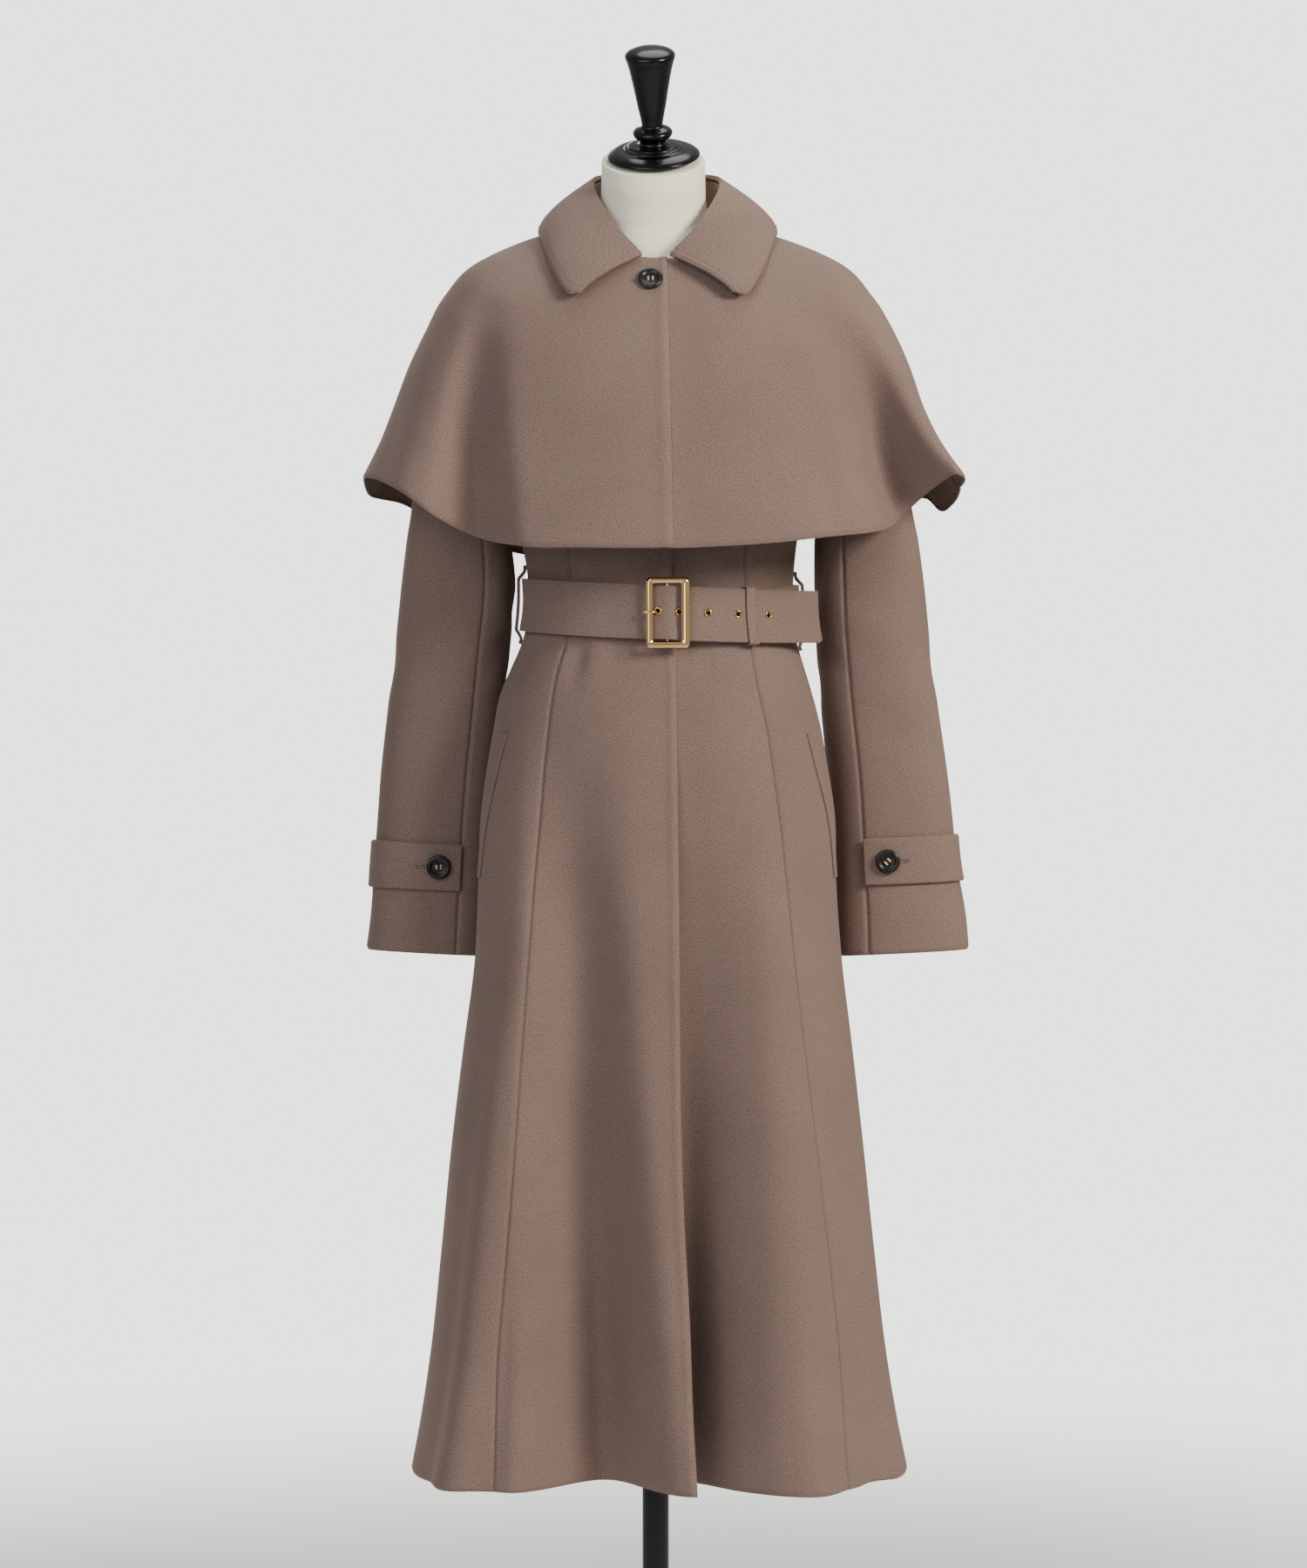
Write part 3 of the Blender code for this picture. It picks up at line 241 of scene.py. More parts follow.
# Sleeves, from cuff to underarm: each section runs from its inner point to its outer point.
SLEEVE = (
    # z_in, z_out, in_right, out_right, in_left, out_left, y_mid, half_depth
    (.7270, .7335, .1600, .2770, .1690, .3000, .063, .0420),
    (.7650, .7700, .1590, .2725, .1690, .2965, .063, .0422),
    (.8100, .8150, .1570, .2695, .1680, .2885, .063, .0425),
    (.8550, .8600, .1545, .2660, .1665, .2840, .061, .0430),
    (.9000, .9050, .1505, .2625, .1640, .2785, .058, .0440),
    (.9600, .9650, .1445, .2555, .1580, .2695, .052, .0450),
    (1.020, 1.023, .1385, .2480, .1530, .2615, .043, .0470),
    (1.080, 1.083, .1330, .2410, .1505, .2545, .032, .0490),
    (1.135, 1.142, .1400, .2335, .1510, .2455, .022, .0510),
    (1.183, 1.205, .1540, .2280, .1560, .2350, .013, .0540),
    (1.211, 1.262, .1600, .2210, .1610, .2230, .008, .0560),
    (1.226, 1.306, .1640, .2075, .1640, .2080, .006, .0570),
)
# Pocket welt, bottom to top, on the side front panels.
WELT = (
    # height, angle
    (.803, 80.0),
    (.850, 73.0),
    (.895, 67.5),
    (.938, 63.5),
)
WELT_WIDTH = 14 * MM

# Collar, a row for each station from its front end round to the middle of the back.
COLLAR = (
    # along, base x y z, roll x y z, edge x y z
    (0.00, .0150, -.0815, 1.3755, .0120, -.0855, 1.3792, .0750, -.1165, 1.3325),
    (0.12, .0320, -.0730, 1.3860, .0285, -.0745, 1.3975, .0870, -.1010, 1.3475),
    (0.25, .0490, -.0580, 1.3970, .0430, -.0585, 1.4180, .0980, -.0790, 1.3690),
    (0.38, .0620, -.0340, 1.4090, .0540, -.0345, 1.4400, .1065, -.0480, 1.3930),
    (0.52, .0665, -.0050, 1.4185, .0595, -.0030, 1.4580, .1120, -.0080, 1.4105),
    (0.68, .0600, .0260, 1.4245, .0550, .0275, 1.4680, .1040, .0400, 1.4165),
    (0.84, .0390, .0500, 1.4290, .0355, .0520, 1.4735, .0670, .0800, 1.4165),
    (1.00, .0000, .0590, 1.4300, .0000, .0610, 1.4750, .0000, .0970, 1.4160),
)
COLLAR_THICK = 4.2 * MM
COLLAR_LEFT_WIDER = 1.035
STAND_THICK = 2.4 * MM
LEAF_FULLNESS = 0.64     # under 1: the leaf swells sooner from its edge
LEAF_CROWN = 7.0 * MM
STAND_DROP = 6.4 * MM

# Form's neck above the shoulders: ring centre and half widths, and how far each ring leans.
NECK = (
    # y_mid, z_mid, half_width, half_depth, lean
    (-.0042, 1.4060, .0560, .0560, 6),
    (-.0080, 1.4250, .0515, .0530, 12),
    (-.0135, 1.4400, .0492, .0500, 19),
    (-.0190, 1.4575, .0486, .0490, 25),
    (-.0197, 1.4750, .0484, .0486, 27),
)

FORM_RINGS = (
    # height of the coat's ring, how much further in than the clearance
    (.745, .0520), (.748, .0360), (.758, .0280), (.800, .020), (.863, .011), (.912, .004),
    (.960, 0), (1.00, 0), (1.055, 0), (1.100, 0), (1.150, 0), (1.200, 0), (1.247, 0),
    (1.297, 0), (1.325, 0), (1.347, .001), (1.365, .002), (1.385, .004), (1.402, .008),
)

CAP_SEAT = Vector((-.0022, -.0202, 1.4765))
CAP_LEAN = 27.0
CAP_SIDE_LEAN = -2.2
# The neck cap's turned profile, radius and height.
CAP_PROFILE = (
    (0, .1046), (.0100, .1038), (.0170, .1020), (.0212, .1000), (.0232, .0980), (.0236, .0963),
    (.0231, .0936), (.0205, .0848), (.0169, .0675), (.0137, .0500), (.0104, .0335),
    (.0108, .0292), (.0160, .0268), (.0184, .0245), (.0186, .0222), (.0172, .0195),
    (.0134, .0172), (.0126, .0140), (.0150, .0120), (.0225, .0112), (.0237, .0098),
    (.0266, .0092), (.0277, .0080), (.0345, .0070), (.0398, .0050), (.0430, .0028),
    (.0438, .0014), (.0435, .0004), (.0425, 0), (0, 0),
)

# ---- folds and creases that only the cloth has ----------------------------------------------
# Small hollows and puffs of the coat where the belt draws it in. Minus is a hollow.
BELT_PINCHES = (
    # degrees, height, half_degrees, half_height, depth
    (-64, 1.008, 11, .030, -.0022),
    (-31, 1.006, 7, .034, -.0030),
    (-22, 0.998, 8, .040, .0016),
    (19, 1.000, 7, .030, -.0018),
    (52, 1.000, 8, .036, -.0022),
    (118, 1.004, 9, .038, -.0026),
    (143, 1.012, 8, .034, .0020),
    (161, 1.006, 7, .040, -.0028),
    (196, 1.008, 8, .036, -.0024),
    (221, 1.012, 9, .034, .0018),
    (246, 1.006, 9, .034, -.0022),
    (-52, 1.092, 9, .022, -.0016),
    (-30, 1.096, 8, .026, .0012),
    (34, 1.094, 9, .024, -.0016),
    (72, 1.098, 8, .026, -.0018),
    (135, 1.100, 9, .030, -.0022),
    (172, 1.098, 9, .030, .0016),
    (205, 1.102, 10, .028, -.0024),
)

# Soft creases of the sleeves. Levels count the sections of SLEEVE from the cuff up.
SLEEVE_CREASES = (
    # degrees, level, half_degrees, half_level, depth, slant in levels a degree
    (-20, 4.6, 60, 0.55, -.0016, .004),
    (-75, 5.7, 70, 0.60, -.0018, .006),
    (15, 6.4, 55, 0.45, .0014, .008),
    (60, 6.0, 45, 0.40, -.0024, .010),
    (85, 6.7, 45, 0.38, -.0022, -.008),
    (110, 5.3, 50, 0.45, -.0020, -.006),
    (-140, 6.2, 60, 0.50, -.0020, -.004),
    (-60, 8.3, 80, 0.60, -.0020, .004),
    (60, 8.8, 60, 0.45, -.0028, .006),
    (-160, 3.4, 60, 0.70, -.0012, .003),
)


# ---- tables and surfaces --------------------------------------------------------------------
class Table:
    """Rows joined by smooth curves through each column, looked up by the first column."""

    def __init__(self, rows):
        self.rows = np.array(rows, dtype=float)
        if self.rows[0, 0] > self.rows[-1, 0]:
            self.rows = self.rows[::-1]
        self.keys = self.rows[:, 0]
        self.slopes = np.gradient(self.rows, self.keys, axis=0)

    def at(self, key):
        """Columns of the row at each key, as an array of columns."""
        key = np.clip(np.asarray(key, float), self.keys[0], self.keys[-1])
        k = np.clip(np.searchsorted(self.keys, key) - 1, 0, len(self.keys) - 2)
        span = (self.keys[k + 1] - self.keys[k])[..., None]
        t = (key - self.keys[k])[..., None] / span
        here, there = self.rows[k], self.rows[k + 1]
        slope_here, slope_there = self.slopes[k] * span, self.slopes[k + 1] * span
        rows = ((2 * t ** 3 - 3 * t ** 2 + 1) * here + (t ** 3 - 2 * t ** 2 + t) * slope_here
                + (3 * t ** 2 - 2 * t ** 3) * there + (t ** 3 - t ** 2) * slope_there)
        return np.moveaxis(rows, -1, 0)


body_table = Table(BODY)
cape_table = Table(CAPE)
lift_table = Table(CAPE_LIFTS)
edge_table = Table(FRONT_EDGE)
sleeve_table = Table([(k, *row) for k, row in enumerate(SLEEVE)])
collar_table = Table(COLLAR)
welt_table = Table(WELT)


def ease(t):
    t = np.clip(t, 0.0, 1.0)
    return t * t * (3 - 2 * t)


def swell(away):
    """A soft bump: 1 in the middle, 0 one unit away from it."""
    return (1 + np.cos(np.pi * np.clip(np.abs(away), 0, 1))) / 2


def bell(away, width):
    """A longer, softer bump: about a third as high one width away from its middle."""
    return np.exp(-(away / width) ** 2)


def edge_round(near, soft):
    """Share by which a face has fallen this near its edge: a quarter circle."""
    return 1 - np.sqrt(1 - np.clip(1 - near / soft, 0, 1) ** 2)


def turned_by(degrees, axis="Z"):
    return Matrix.Rotation(math.radians(degrees), 4, axis)


def turn_between(degrees, middle):
    """Degrees from a middle, taken the short way round."""
    return (degrees - middle + 180) % 360 - 180


def points(x, y, z):
    return np.stack(np.broadcast_arrays(x, y, z), axis=-1)


def ring_point(row, degrees):
    """Points of body or cape rings. 0 degrees is the front, 90 the wearer's left."""
    height, right, left, front, back, front_drop, back_drop = row[:7]
    s, c = np.sin(np.radians(degrees)), np.cos(np.radians(degrees))
    x = np.where(s > 0, left, right) * s * (1 + ROUNDNESS * c * c)
    y = -np.where(c > 0, front, back) * c * (1 + ROUNDNESS * s * s)
    drop = np.where(c > 0, front_drop, back_drop) * np.abs(c) ** DROP_CURVE
    return points(x, y, height - drop)


def fold_depth(folds, degrees, height, hem):
    total = 0.0
    for angle_top, angle_hem, half_angle, depth, top in folds:
        grown = np.clip((top - height) / (top - hem), 0, 1)
        middle = angle_top + (angle_hem - angle_top) * grown
        total = total + depth * grown * swell(turn_between(degrees, middle) / half_angle)
    return total


def pinch_depth(pinches, degrees, height):
    total = 0.0
    for middle, level, half_degrees, half_height, depth in pinches:
        total = total + (depth * swell(turn_between(degrees, middle) / half_degrees)
                         * swell((height - level) / half_height))
    return total


def pushed(point, amount, spread=1.0):
    """Moves points level, away from the body's axis; less spread turns them front and back."""
    away = point[..., :2] * np.array((spread, 1.0))
    away = away / np.linalg.norm(away, axis=-1, keepdims=True)
    moved = point.copy()
    moved[..., :2] += away * np.asarray(amount)[..., None]
    return moved


def coat_form(degrees, height):
    """The coat as the frame has it."""
    point = ring_point(body_table.at(height), degrees)
    return pushed(point, fold_depth(SKIRT_FOLDS, degrees, height, HEM_HEIGHT), SKIRT_SPREAD)


def coat_surface(degrees, height):
    """The coat with the small creases that the belt makes."""
    return pushed(coat_form(degrees, height), pinch_depth(BELT_PINCHES, degrees, height))


def cape_surface(degrees, height):
    point = ring_point(cape_table.at(height), degrees)
    point = pushed(point, fold_depth(CAPE_FOLDS, degrees, height, CAPE[-1][0]), CAPE_SPREAD)
    grown = np.clip((LIFT_TOP - height) / (LIFT_TOP - CAPE[-1][0]), 0, 1.2)
    point[..., 2] += lift_table.at(turn_between(degrees, 0))[1] * grown ** 2
    return point


def run_and_rise(surface, across, up, step_across, step_up):
    """How a surface runs across and rises at a place, over two small steps each way."""
    return (surface(across + step_across, up) - surface(across - step_across, up),
            surface(across, up + step_up) - surface(across, up - step_up))


def off_surface(surface, across, up, out, step_across=1.0, step_up=0.004):
    """Points of a surface moved out along its normal."""
    across, up = np.asarray(across, float), np.asarray(up, float)
    normal = np.cross(*run_and_rise(surface, across, up, step_across, step_up))
    normal = normal / np.linalg.norm(normal, axis=-1, keepdims=True)
    return surface(across, up) + normal * np.asarray(out)[..., None]


def surface_frame(point, side, rise, out):
    """Place on a surface, with local Z outwards, from its point and its two directions."""
    side, rise = Vector(side).normalized(), Vector(rise)
    normal = side.cross(rise).normalized()
    turn = Matrix((side, normal.cross(side), normal)).transposed().to_4x4()
    return Matrix.Translation(Vector(point) + normal * out) @ turn


def frame_on(surface, across, up, out, step_across, step_up, sign=1):
    side, rise = run_and_rise(surface, across, up, step_across, step_up)
    return surface_frame(surface(across, up), side * sign, rise, out)


def angle_of_x(surface, x, height, low=-89.0, high=89.0):
    """Angles at which the front of the rings reaches x."""
    height = np.asarray(height, float)
    low, high = np.full(height.shape, low), np.full(height.shape, high)
    for _ in range(30):
        middle = (low + high) / 2
        short = surface(middle, height)[..., 0] < x
        low, high = np.where(short, middle, low), np.where(short, high, middle)
    return (low + high) / 2


def edge_angle(surface, height):
    """Angle of the right front's edge at heights on the side line."""
    front_height = surface(0 * height, height)[..., 2]
    return angle_of_x(surface, edge_table.at(front_height)[1], height)


# ---- materials ------------------------------------------------------------------------------
def linear(hex_code):
    """Linear colour of an sRGB hex code."""
    parts = [int(hex_code[k:k + 2], 16) / 255 for k in (1, 3, 5)]
    return [p / 12.92 if p < 0.04045 else ((p + 0.055) / 1.055) ** 2.4 for p in parts] + [1.0]


def link_in(tree, node, **sources):
    """Links sources to a node's sockets. In a socket's name an underscore stands for a space."""
    for name, source in sources.items():
        tree.links.new(source, node.inputs[name.replace("_", " ")])
    return node


def add_node(tree, kind, settings=None, inputs=None, **links):
    """Adds a node with its settings, its sockets' values and its links."""
    node = tree.nodes.new(kind)
    for name, value in (settings or {}).items():
        setattr(node, name, value)
    for name, value in (inputs or {}).items():
        node.inputs[name].default_value = value
    return link_in(tree, node, **links)


def new_material(name, values):
    """A material with one Principled shader whose own sockets take the values."""
    material = bpy.data.materials.new(name)
    material.use_nodes = True
    tree = material.node_tree
    shader = tree.nodes["Principled BSDF"]
    for socket, value in values.items():
        shader.inputs[socket].default_value = value
    return material, tree, shader


def ramp(tree, factor, stops):
    """Colours along a factor, from (place, hex) stops."""
    node = add_node(tree, "ShaderNodeValToRGB", Fac=factor)
    elements = node.color_ramp.elements
    while len(elements) < len(stops):
        elements.new(1.0)
    for element, (place, hex_code) in zip(elements, stops):
        element.position = place
        element.color = linear(hex_code)
    return node.outputs["Color"]


def noise(tree, size, place, detail=2.0, roughness=0.5, distortion=0.0, flat=False):
    """Noise whose flecks are this big, in metres. Flat noise is for a UV map."""
    node = add_node(tree, "ShaderNodeTexNoise", {"noise_dimensions": "2D" if flat else "3D"},
                    {"Scale": 1.0 / size, "Detail": detail, "Roughness": roughness,
                     "Distortion": distortion}, Vector=place)
    return node.outputs["Fac"]


WAVE_RADIANS = 20        # a wave texture runs through this many radians in a unit of its scale


def bands(tree, pitch, place, direction, inputs):
    """Wavy bands this far apart, in metres."""
    node = add_node(tree, "ShaderNodeTexWave", {"bands_direction": direction},
                    {"Scale": 2 * math.pi / WAVE_RADIANS / pitch, **inputs}, Vector=place)
    return node.outputs["Fac"]


def carried(tree, factor, low, high, to_low, to_high):
    """A factor carried over from one range to another."""
    node = add_node(tree, "ShaderNodeMapRange", {}, {"From Min": low, "From Max": high,
                                                     "To Min": to_low, "To Max": to_high},
                    Value=factor)
    return node.outputs["Result"]


def blended(tree, first, second, share):
    """Two colours mixed, with this share of the second."""
    node = add_node(tree, "ShaderNodeMix", {"data_type": "RGBA"}, {"Factor": share})
    return link_in(tree, node, A=first, B=second).outputs["Result"]


def bump(tree, height, strength, depth, **under):
    """Normals of a fine relief this deep, over a coarser one where that is given."""
    node = add_node(tree, "ShaderNodeBump", {}, {"Strength": strength, "Distance": depth},
                    Height=height, **under)
    return node.outputs["Normal"]


def own_place(tree):
    """A piece's own coordinates, in metres."""
    return add_node(tree, "ShaderNodeTexCoord").outputs["Object"]


def stretched(tree, place, inputs):
    """Coordinates turned or scaled by a mapping."""
    return add_node(tree, "ShaderNodeMapping", inputs=inputs, Vector=place).outputs["Vector"]


# Melton: wool woven, then milled and brushed until the weave is hidden under a short nap. It
# looks matte and warm, with fibres of grey, rose and olive brown mixed in the yarn.
def make_melton(name, light, dark, pale, rose, olive):
    material, tree, shader = new_material(name, {
        "Roughness": 0.92, "Specular IOR Level": 0.22, "Sheen Weight": 0.30,
        "Sheen Roughness": 0.45, "Sheen Tint": linear("#C9B3A4")})
    uv = add_node(tree, "ShaderNodeUVMap").outputs["UV"]
    # Fibres lie mostly down the cloth, so the flecks are drawn a quarter longer than wide.
    along = stretched(tree, uv, {"Scale": (1.25, 1.0, 1.0)})
    # Yarn-mix cloudiness, drawn at 7 mm.
    cloud = noise(tree, 7 * MM, along, 3.0, 0.6, flat=True)
    # Fibre flecks are 0.3 mm in the cloth and drawn at 1.3 mm so that they show.
    fleck = noise(tree, 1.3 * MM, along, 2.0, 0.6, flat=True)
    # Slow change of tone over a hand's breadth, from brushing.
    brushed = noise(tree, 95 * MM, uv, flat=True)
    base = ramp(tree, fleck, ((0.34, dark), (0.52, light), (0.68, pale)))
    tint = ramp(tree, cloud, ((0.36, olive), (0.50, light), (0.66, rose)))
    toned = add_node(tree, "ShaderNodeVectorMath", {"operation": "SCALE"},
                     Scale=carried(tree, brushed, 0.3, 0.7, 0.95, 1.04))
    tree.links.new(blended(tree, base, tint, 0.38), toned.inputs[0])
    # The nap: short fibres about 0.5 mm apart, drawn at 0.9 mm, over soft felted lumps of 4 mm.
    nap = noise(tree, 0.9 * MM, along, 3.0, 0.7, flat=True)
    lump = noise(tree, 4 * MM, along, flat=True)
    soft = bump(tree, lump, 0.13, 0.5 * MM)
    link_in(tree, shader, Base_Color=toned.outputs["Vector"],
            Normal=bump(tree, nap, 0.6, 0.4 * MM, Normal=soft))
    return material


# Linen: plain woven from cream flax yarn, stretched over the form. Its thick and thin yarns
# show as faint crossing bands, with slubs here and there.
def make_linen(name):
    material, tree, shader = new_material(name, {
        "Roughness": 0.85, "Specular IOR Level": 0.3, "Sheen Weight": 0.15})
    place = own_place(tree)
    # Thick yarns lie a few millimetres apart in the cloth, and their bands are drawn 7 mm apart.
    warp, weft = [bands(tree, 6.9115 * MM,
                        stretched(tree, place, {"Rotation": (0.0, math.radians(turn), 0.0)}),
                        "X", {"Distortion": 1.2, "Detail": 2.0, "Detail Scale": 1.5})
                  for turn in (0.0, 90.0)]
    both = add_node(tree, "ShaderNodeMath", {"operation": "ADD"})
    tree.links.new(warp, both.inputs[0])
    tree.links.new(weft, both.inputs[1])
    half = add_node(tree, "ShaderNodeMath", {"operation": "MULTIPLY"}, {1: 0.5})
    tree.links.new(both.outputs["Value"], half.inputs[0])
    weave = half.outputs["Value"]
    slub = noise(tree, 3 * MM, place, 3.0)
    colour = ramp(tree, weave, ((0.15, "#FFF6D8"), (0.75, "#FFFBE6")))
    slubs = ramp(tree, slub, ((0.35, "#FFF6D8"), (0.65, "#FFFBE6")))
    link_in(tree, shader, Base_Color=blended(tree, colour, slubs, 0.45),
            Normal=bump(tree, weave, 0.12, 0.1 * MM))
    return material


# Black lacquer on turned beech and steel: sprayed in several coats and buffed, so it is glossy,
# with faint orange peel and a few dull rubbed places.
def make_lacquer(name):
    material, tree, shader = new_material(name, {
        "Base Color": linear("#070606"), "IOR": 1.5, "Specular IOR Level": 0.26,
        "Coat Weight": 0.10, "Coat Roughness": 0.12})
    place = own_place(tree)
    rubbed = noise(tree, 14 * MM, place, 5.0)
    peel = noise(tree, 2.5 * MM, place, 1.0)
    link_in(tree, shader, Roughness=carried(tree, rubbed, 0.35, 0.75, 0.19, 0.27),
            Normal=bump(tree, peel, 0.02, 0.1 * MM))
    return material


# Gold-plated zinc, die cast, polished and plated pale gold: a mirror with faint rub marks.
def make_plate(name, colour):
    material, tree, shader = new_material(name, {
        "Base Color": linear(colour), "Metallic": 1.0})
    rub = noise(tree, 1.5 * MM, own_place(tree), 4.0)
    link_in(tree, shader, Roughness=carried(tree, rub, 0.3, 0.8, 0.08, 0.17),
            Normal=bump(tree, rub, 0.03, 0.05 * MM))
    return material


# Buffalo horn, turned and buffed: near black with brown streaks and a waxy shine.
def make_horn(name):
    material, tree, shader = new_material(name, {
        "IOR": 1.54, "Specular IOR Level": 0.28, "Coat Weight": 0.06, "Coat Roughness": 0.3})
    drawn = stretched(tree, own_place(tree), {"Scale": (1.0, 1.0, 0.3)})
    streak = noise(tree, 4 * MM, drawn, 5.0, distortion=1.5)
    colour = ramp(tree, streak, ((0.38, "#0E0B0B"), (0.56, "#1B1415"), (0.72, "#3E2F27")))
    link_in(tree, shader, Base_Color=colour,
            Roughness=carried(tree, streak, 0.3, 0.7, 0.24, 0.38))
    return material


# Sewing thread: three-ply polyester, twisted, with a slight shine on each turn. Its colour is
# painted darker in the twist's grooves and lighter on its turns: painted shade and painted
# highlight over the bump.
def make_thread(name, light, dark):
    material, tree, shader = new_material(name, {"Roughness": 0.6, "Sheen Weight": 0.3})
    twist = bands(tree, 3.1416 * MM, own_place(tree), "DIAGONAL", {"Distortion": 0.5})
    # Painted shade and highlight: the same twist that makes the bump paints the grooves dark and
    # the turns light.
    link_in(tree, shader, Base_Color=ramp(tree, twist, ((0.2, dark), (0.8, light))),
            Normal=bump(tree, twist, 0.3, 0.1 * MM))
    return material


melton = make_melton("wool_melton", "#7D695E", "#52433E", "#8E796C", "#866660", "#766759")
linen = make_linen("cream_linen")
lacquer = make_lacquer("black_lacquer")
gold_plate = make_plate("gold_plated_zinc", "#EDC084")
brass_plate = make_plate("brass_eyelet_plate", "#DDA868")
horn = make_horn("buffalo_horn")
button_thread = make_thread("beige_button_thread", "#D8C08C", "#A88C58")
seam_thread = make_thread("brown_seam_thread", "#7E695E", "#5A4940")


# ---- making and finishing pieces ------------------------------------------------------------
def finish_piece(name, bm, material, smooth_angle=40.0):
    """Makes a bmesh into a piece in the scene."""
    mesh = bpy.data.meshes.new(name)
    bm.to_mesh(mesh)
    bm.free()
    mesh.materials.append(material)
    mesh.shade_smooth()
    if smooth_angle is not None:
        mesh.set_sharp_from_angle(angle=math.radians(smooth_angle))
    made = bpy.data.objects.new(name, mesh)
    scene.collection.objects.link(made)
    return made


def declare(piece, slot, *nodes):
    """Says what the piece rides on and which nodes it stands for. slot is not used."""
    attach(piece, "root")
    if nodes:
        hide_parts(*nodes)
    return piece


def steps(count, gather=0.0):
    """Even shares from 0 to 1, drawn towards both ends so that edges get finer steps."""
    share = np.linspace(0, 1, count + 1)
    return share - gather * np.sin(2 * np.pi * share) / (2 * np.pi)


def run_lengths(grid, axis):
    """How far each point of a grid lies along its row or column."""
    spans = np.linalg.norm(np.diff(grid, axis=axis), axis=-1)
    start = np.zeros_like(np.take(spans, [0], axis=axis))
    return np.cumsum(np.concatenate([start, spans], axis=axis), axis=axis)


def sheet_bmesh(grid):
    """An even grid bent to a table of points, rows up and columns across, with its UV map in
    metres of cloth."""
    rows, columns = grid.shape[0] - 1, grid.shape[1] - 1
    bm = bmesh.new()
    bmesh.ops.create_grid(bm, x_segments=columns, y_segments=rows, size=0.5)
    along_row = run_lengths(grid, 1)
    along_row = along_row - along_row[:, columns // 2][:, None]
    up_column = run_lengths(grid, 0)[:, columns // 2]
    uv = bm.loops.layers.uv.new("cut")
    for vert in bm.verts:
        i, j = round((vert.co.y + 0.5) * rows), round((vert.co.x + 0.5) * columns)
        vert.co = grid[i, j]
        for loop in vert.link_loops:
            loop[uv].uv = (along_row[i, j], up_column[i])
    return bm


CLOTH_RIM = 0.8 * MM     # how far a cut edge of the cloth is rounded
SHARP_EDGE = 50          # edges that bend by more degrees than this are rounded or stay crisp


def walled(piece, thick):
    """Gives a sheet its thickness, behind its face."""
    wall = piece.modifiers.new("wall", "SOLIDIFY")
    wall.thickness = thick
    wall.offset = -1.0
    return piece


def rounded(piece, width, segments):
    """Rounds a piece's sharp edges."""
    edge = piece.modifiers.new("rounded_edges", "BEVEL")
    edge.width = width
    edge.segments = segments
    edge.limit_method = "ANGLE"
    edge.angle_limit = math.radians(SHARP_EDGE)
    return piece


def cloth(node, grid, thick=CLOTH, rim=CLOTH_RIM, rim_steps=2):
    """A wall of cloth behind a grid of face points, with softly rounded edges."""
    piece = finish_piece(node + "_melton", sheet_bmesh(grid), melton, None)
    return rounded(walled(piece, thick), rim, rim_steps)


def applied(piece):
    """Replaces a piece's mesh by what its modifiers make of it."""
    graph = bpy.context.evaluated_depsgraph_get()
    mesh = bpy.data.meshes.new_from_object(piece.evaluated_get(graph), depsgraph=graph)
    piece.modifiers.clear()
    piece.data = mesh
    return piece


def add_plug(bm, radius, depth, sides, place):
    """A round punch that is to be cut out of a piece."""
    plug = bmesh.ops.create_cone(bm, cap_ends=True, segments=sides, radius1=radius,
                                 radius2=radius, depth=depth)["verts"]
    bmesh.ops.transform(bm, matrix=place, verts=plug)


def cut_out(piece, plugs, crisp):
    """Cuts plugs out of a piece. Edges that bend by more degrees than crisp stay sharp."""
    cutter = finish_piece("cutter", plugs, piece.data.materials[0])
    cut = piece.modifiers.new("holes", "BOOLEAN")
    cut.operation = "DIFFERENCE"
    cut.solver = "EXACT"
    cut.object = cutter
    applied(piece)
    bpy.data.objects.remove(cutter, do_unlink=True)
    piece.data.shade_smooth()
    piece.data.set_sharp_from_angle(angle=math.radians(crisp))


def add_grain(bm, length, width, place):
    """One stitch: a small rounded grain of thread, long along its local X."""
    grain = bmesh.ops.create_icosphere(bm, subdivisions=1, radius=0.5)["verts"]
    bmesh.ops.transform(bm, matrix=place @ Matrix.Diagonal((length, width, width, 1.0)),
                        verts=grain)


# ---- body panels ----------------------------------------------------------------------------
SEAM_DIP = 1.7 * MM      # the face turns in this far beside a seam or an edge
SEAM_SOFT = 1.5 * MM     # over about this width
HEM_SOFT = 1.8 * MM
EDGE_BEAD = 1.1 * MM     # the turned front edge swells this much
BEAD_IN = 4.2 * MM       # this far in from the edge
BEAD_SOFT = 3.0 * MM
LAP_SHARE = 0.3          # share of a front's width that runs under the other front
LAP_START = 3 * MM       # the under front begins to come forward this far past the edge ...
LAP_RISE = 40 * MM       # ... and is level with the right front after this width
PANEL_GATHER = 0.7       # how much finer the columns get towards a panel's edges ...
ROW_GATHER = 0.55        # ... and the rows towards its ends


def dip(distance, soft=SEAM_SOFT):
    return SEAM_DIP * bell(distance, soft)


def panel_grid(surface, low, high, heights, columns, sunk=None, bead=0.0):
    """Face points of a panel between two edges that are given as angles at each height."""
    start, end = low(heights), high(heights)
    per_degree = np.linalg.norm(surface(start + 0.5, heights) - surface(start - 0.5, heights),
                                axis=-1)
    gap = SEAM_GAP / 2 / per_degree
    share = steps(columns, PANEL_GATHER)[None, :]
    degrees = (start + gap)[:, None] + (end - start - 2 * gap)[:, None] * share
    width = ((end - start) * per_degree)[:, None]
    up = np.broadcast_to(heights[:, None], degrees.shape)
    depth = (dip(share * width) + dip((1 - share) * width)
             + dip(up - heights[0], HEM_SOFT) + dip(heights[-1] - up, HEM_SOFT))
    if sunk is not None:
        depth = depth + sunk(degrees)
    depth = depth - bead * bell((1 - share) * width - BEAD_IN, BEAD_SOFT)
    return off_surface(surface, degrees, up, -depth)


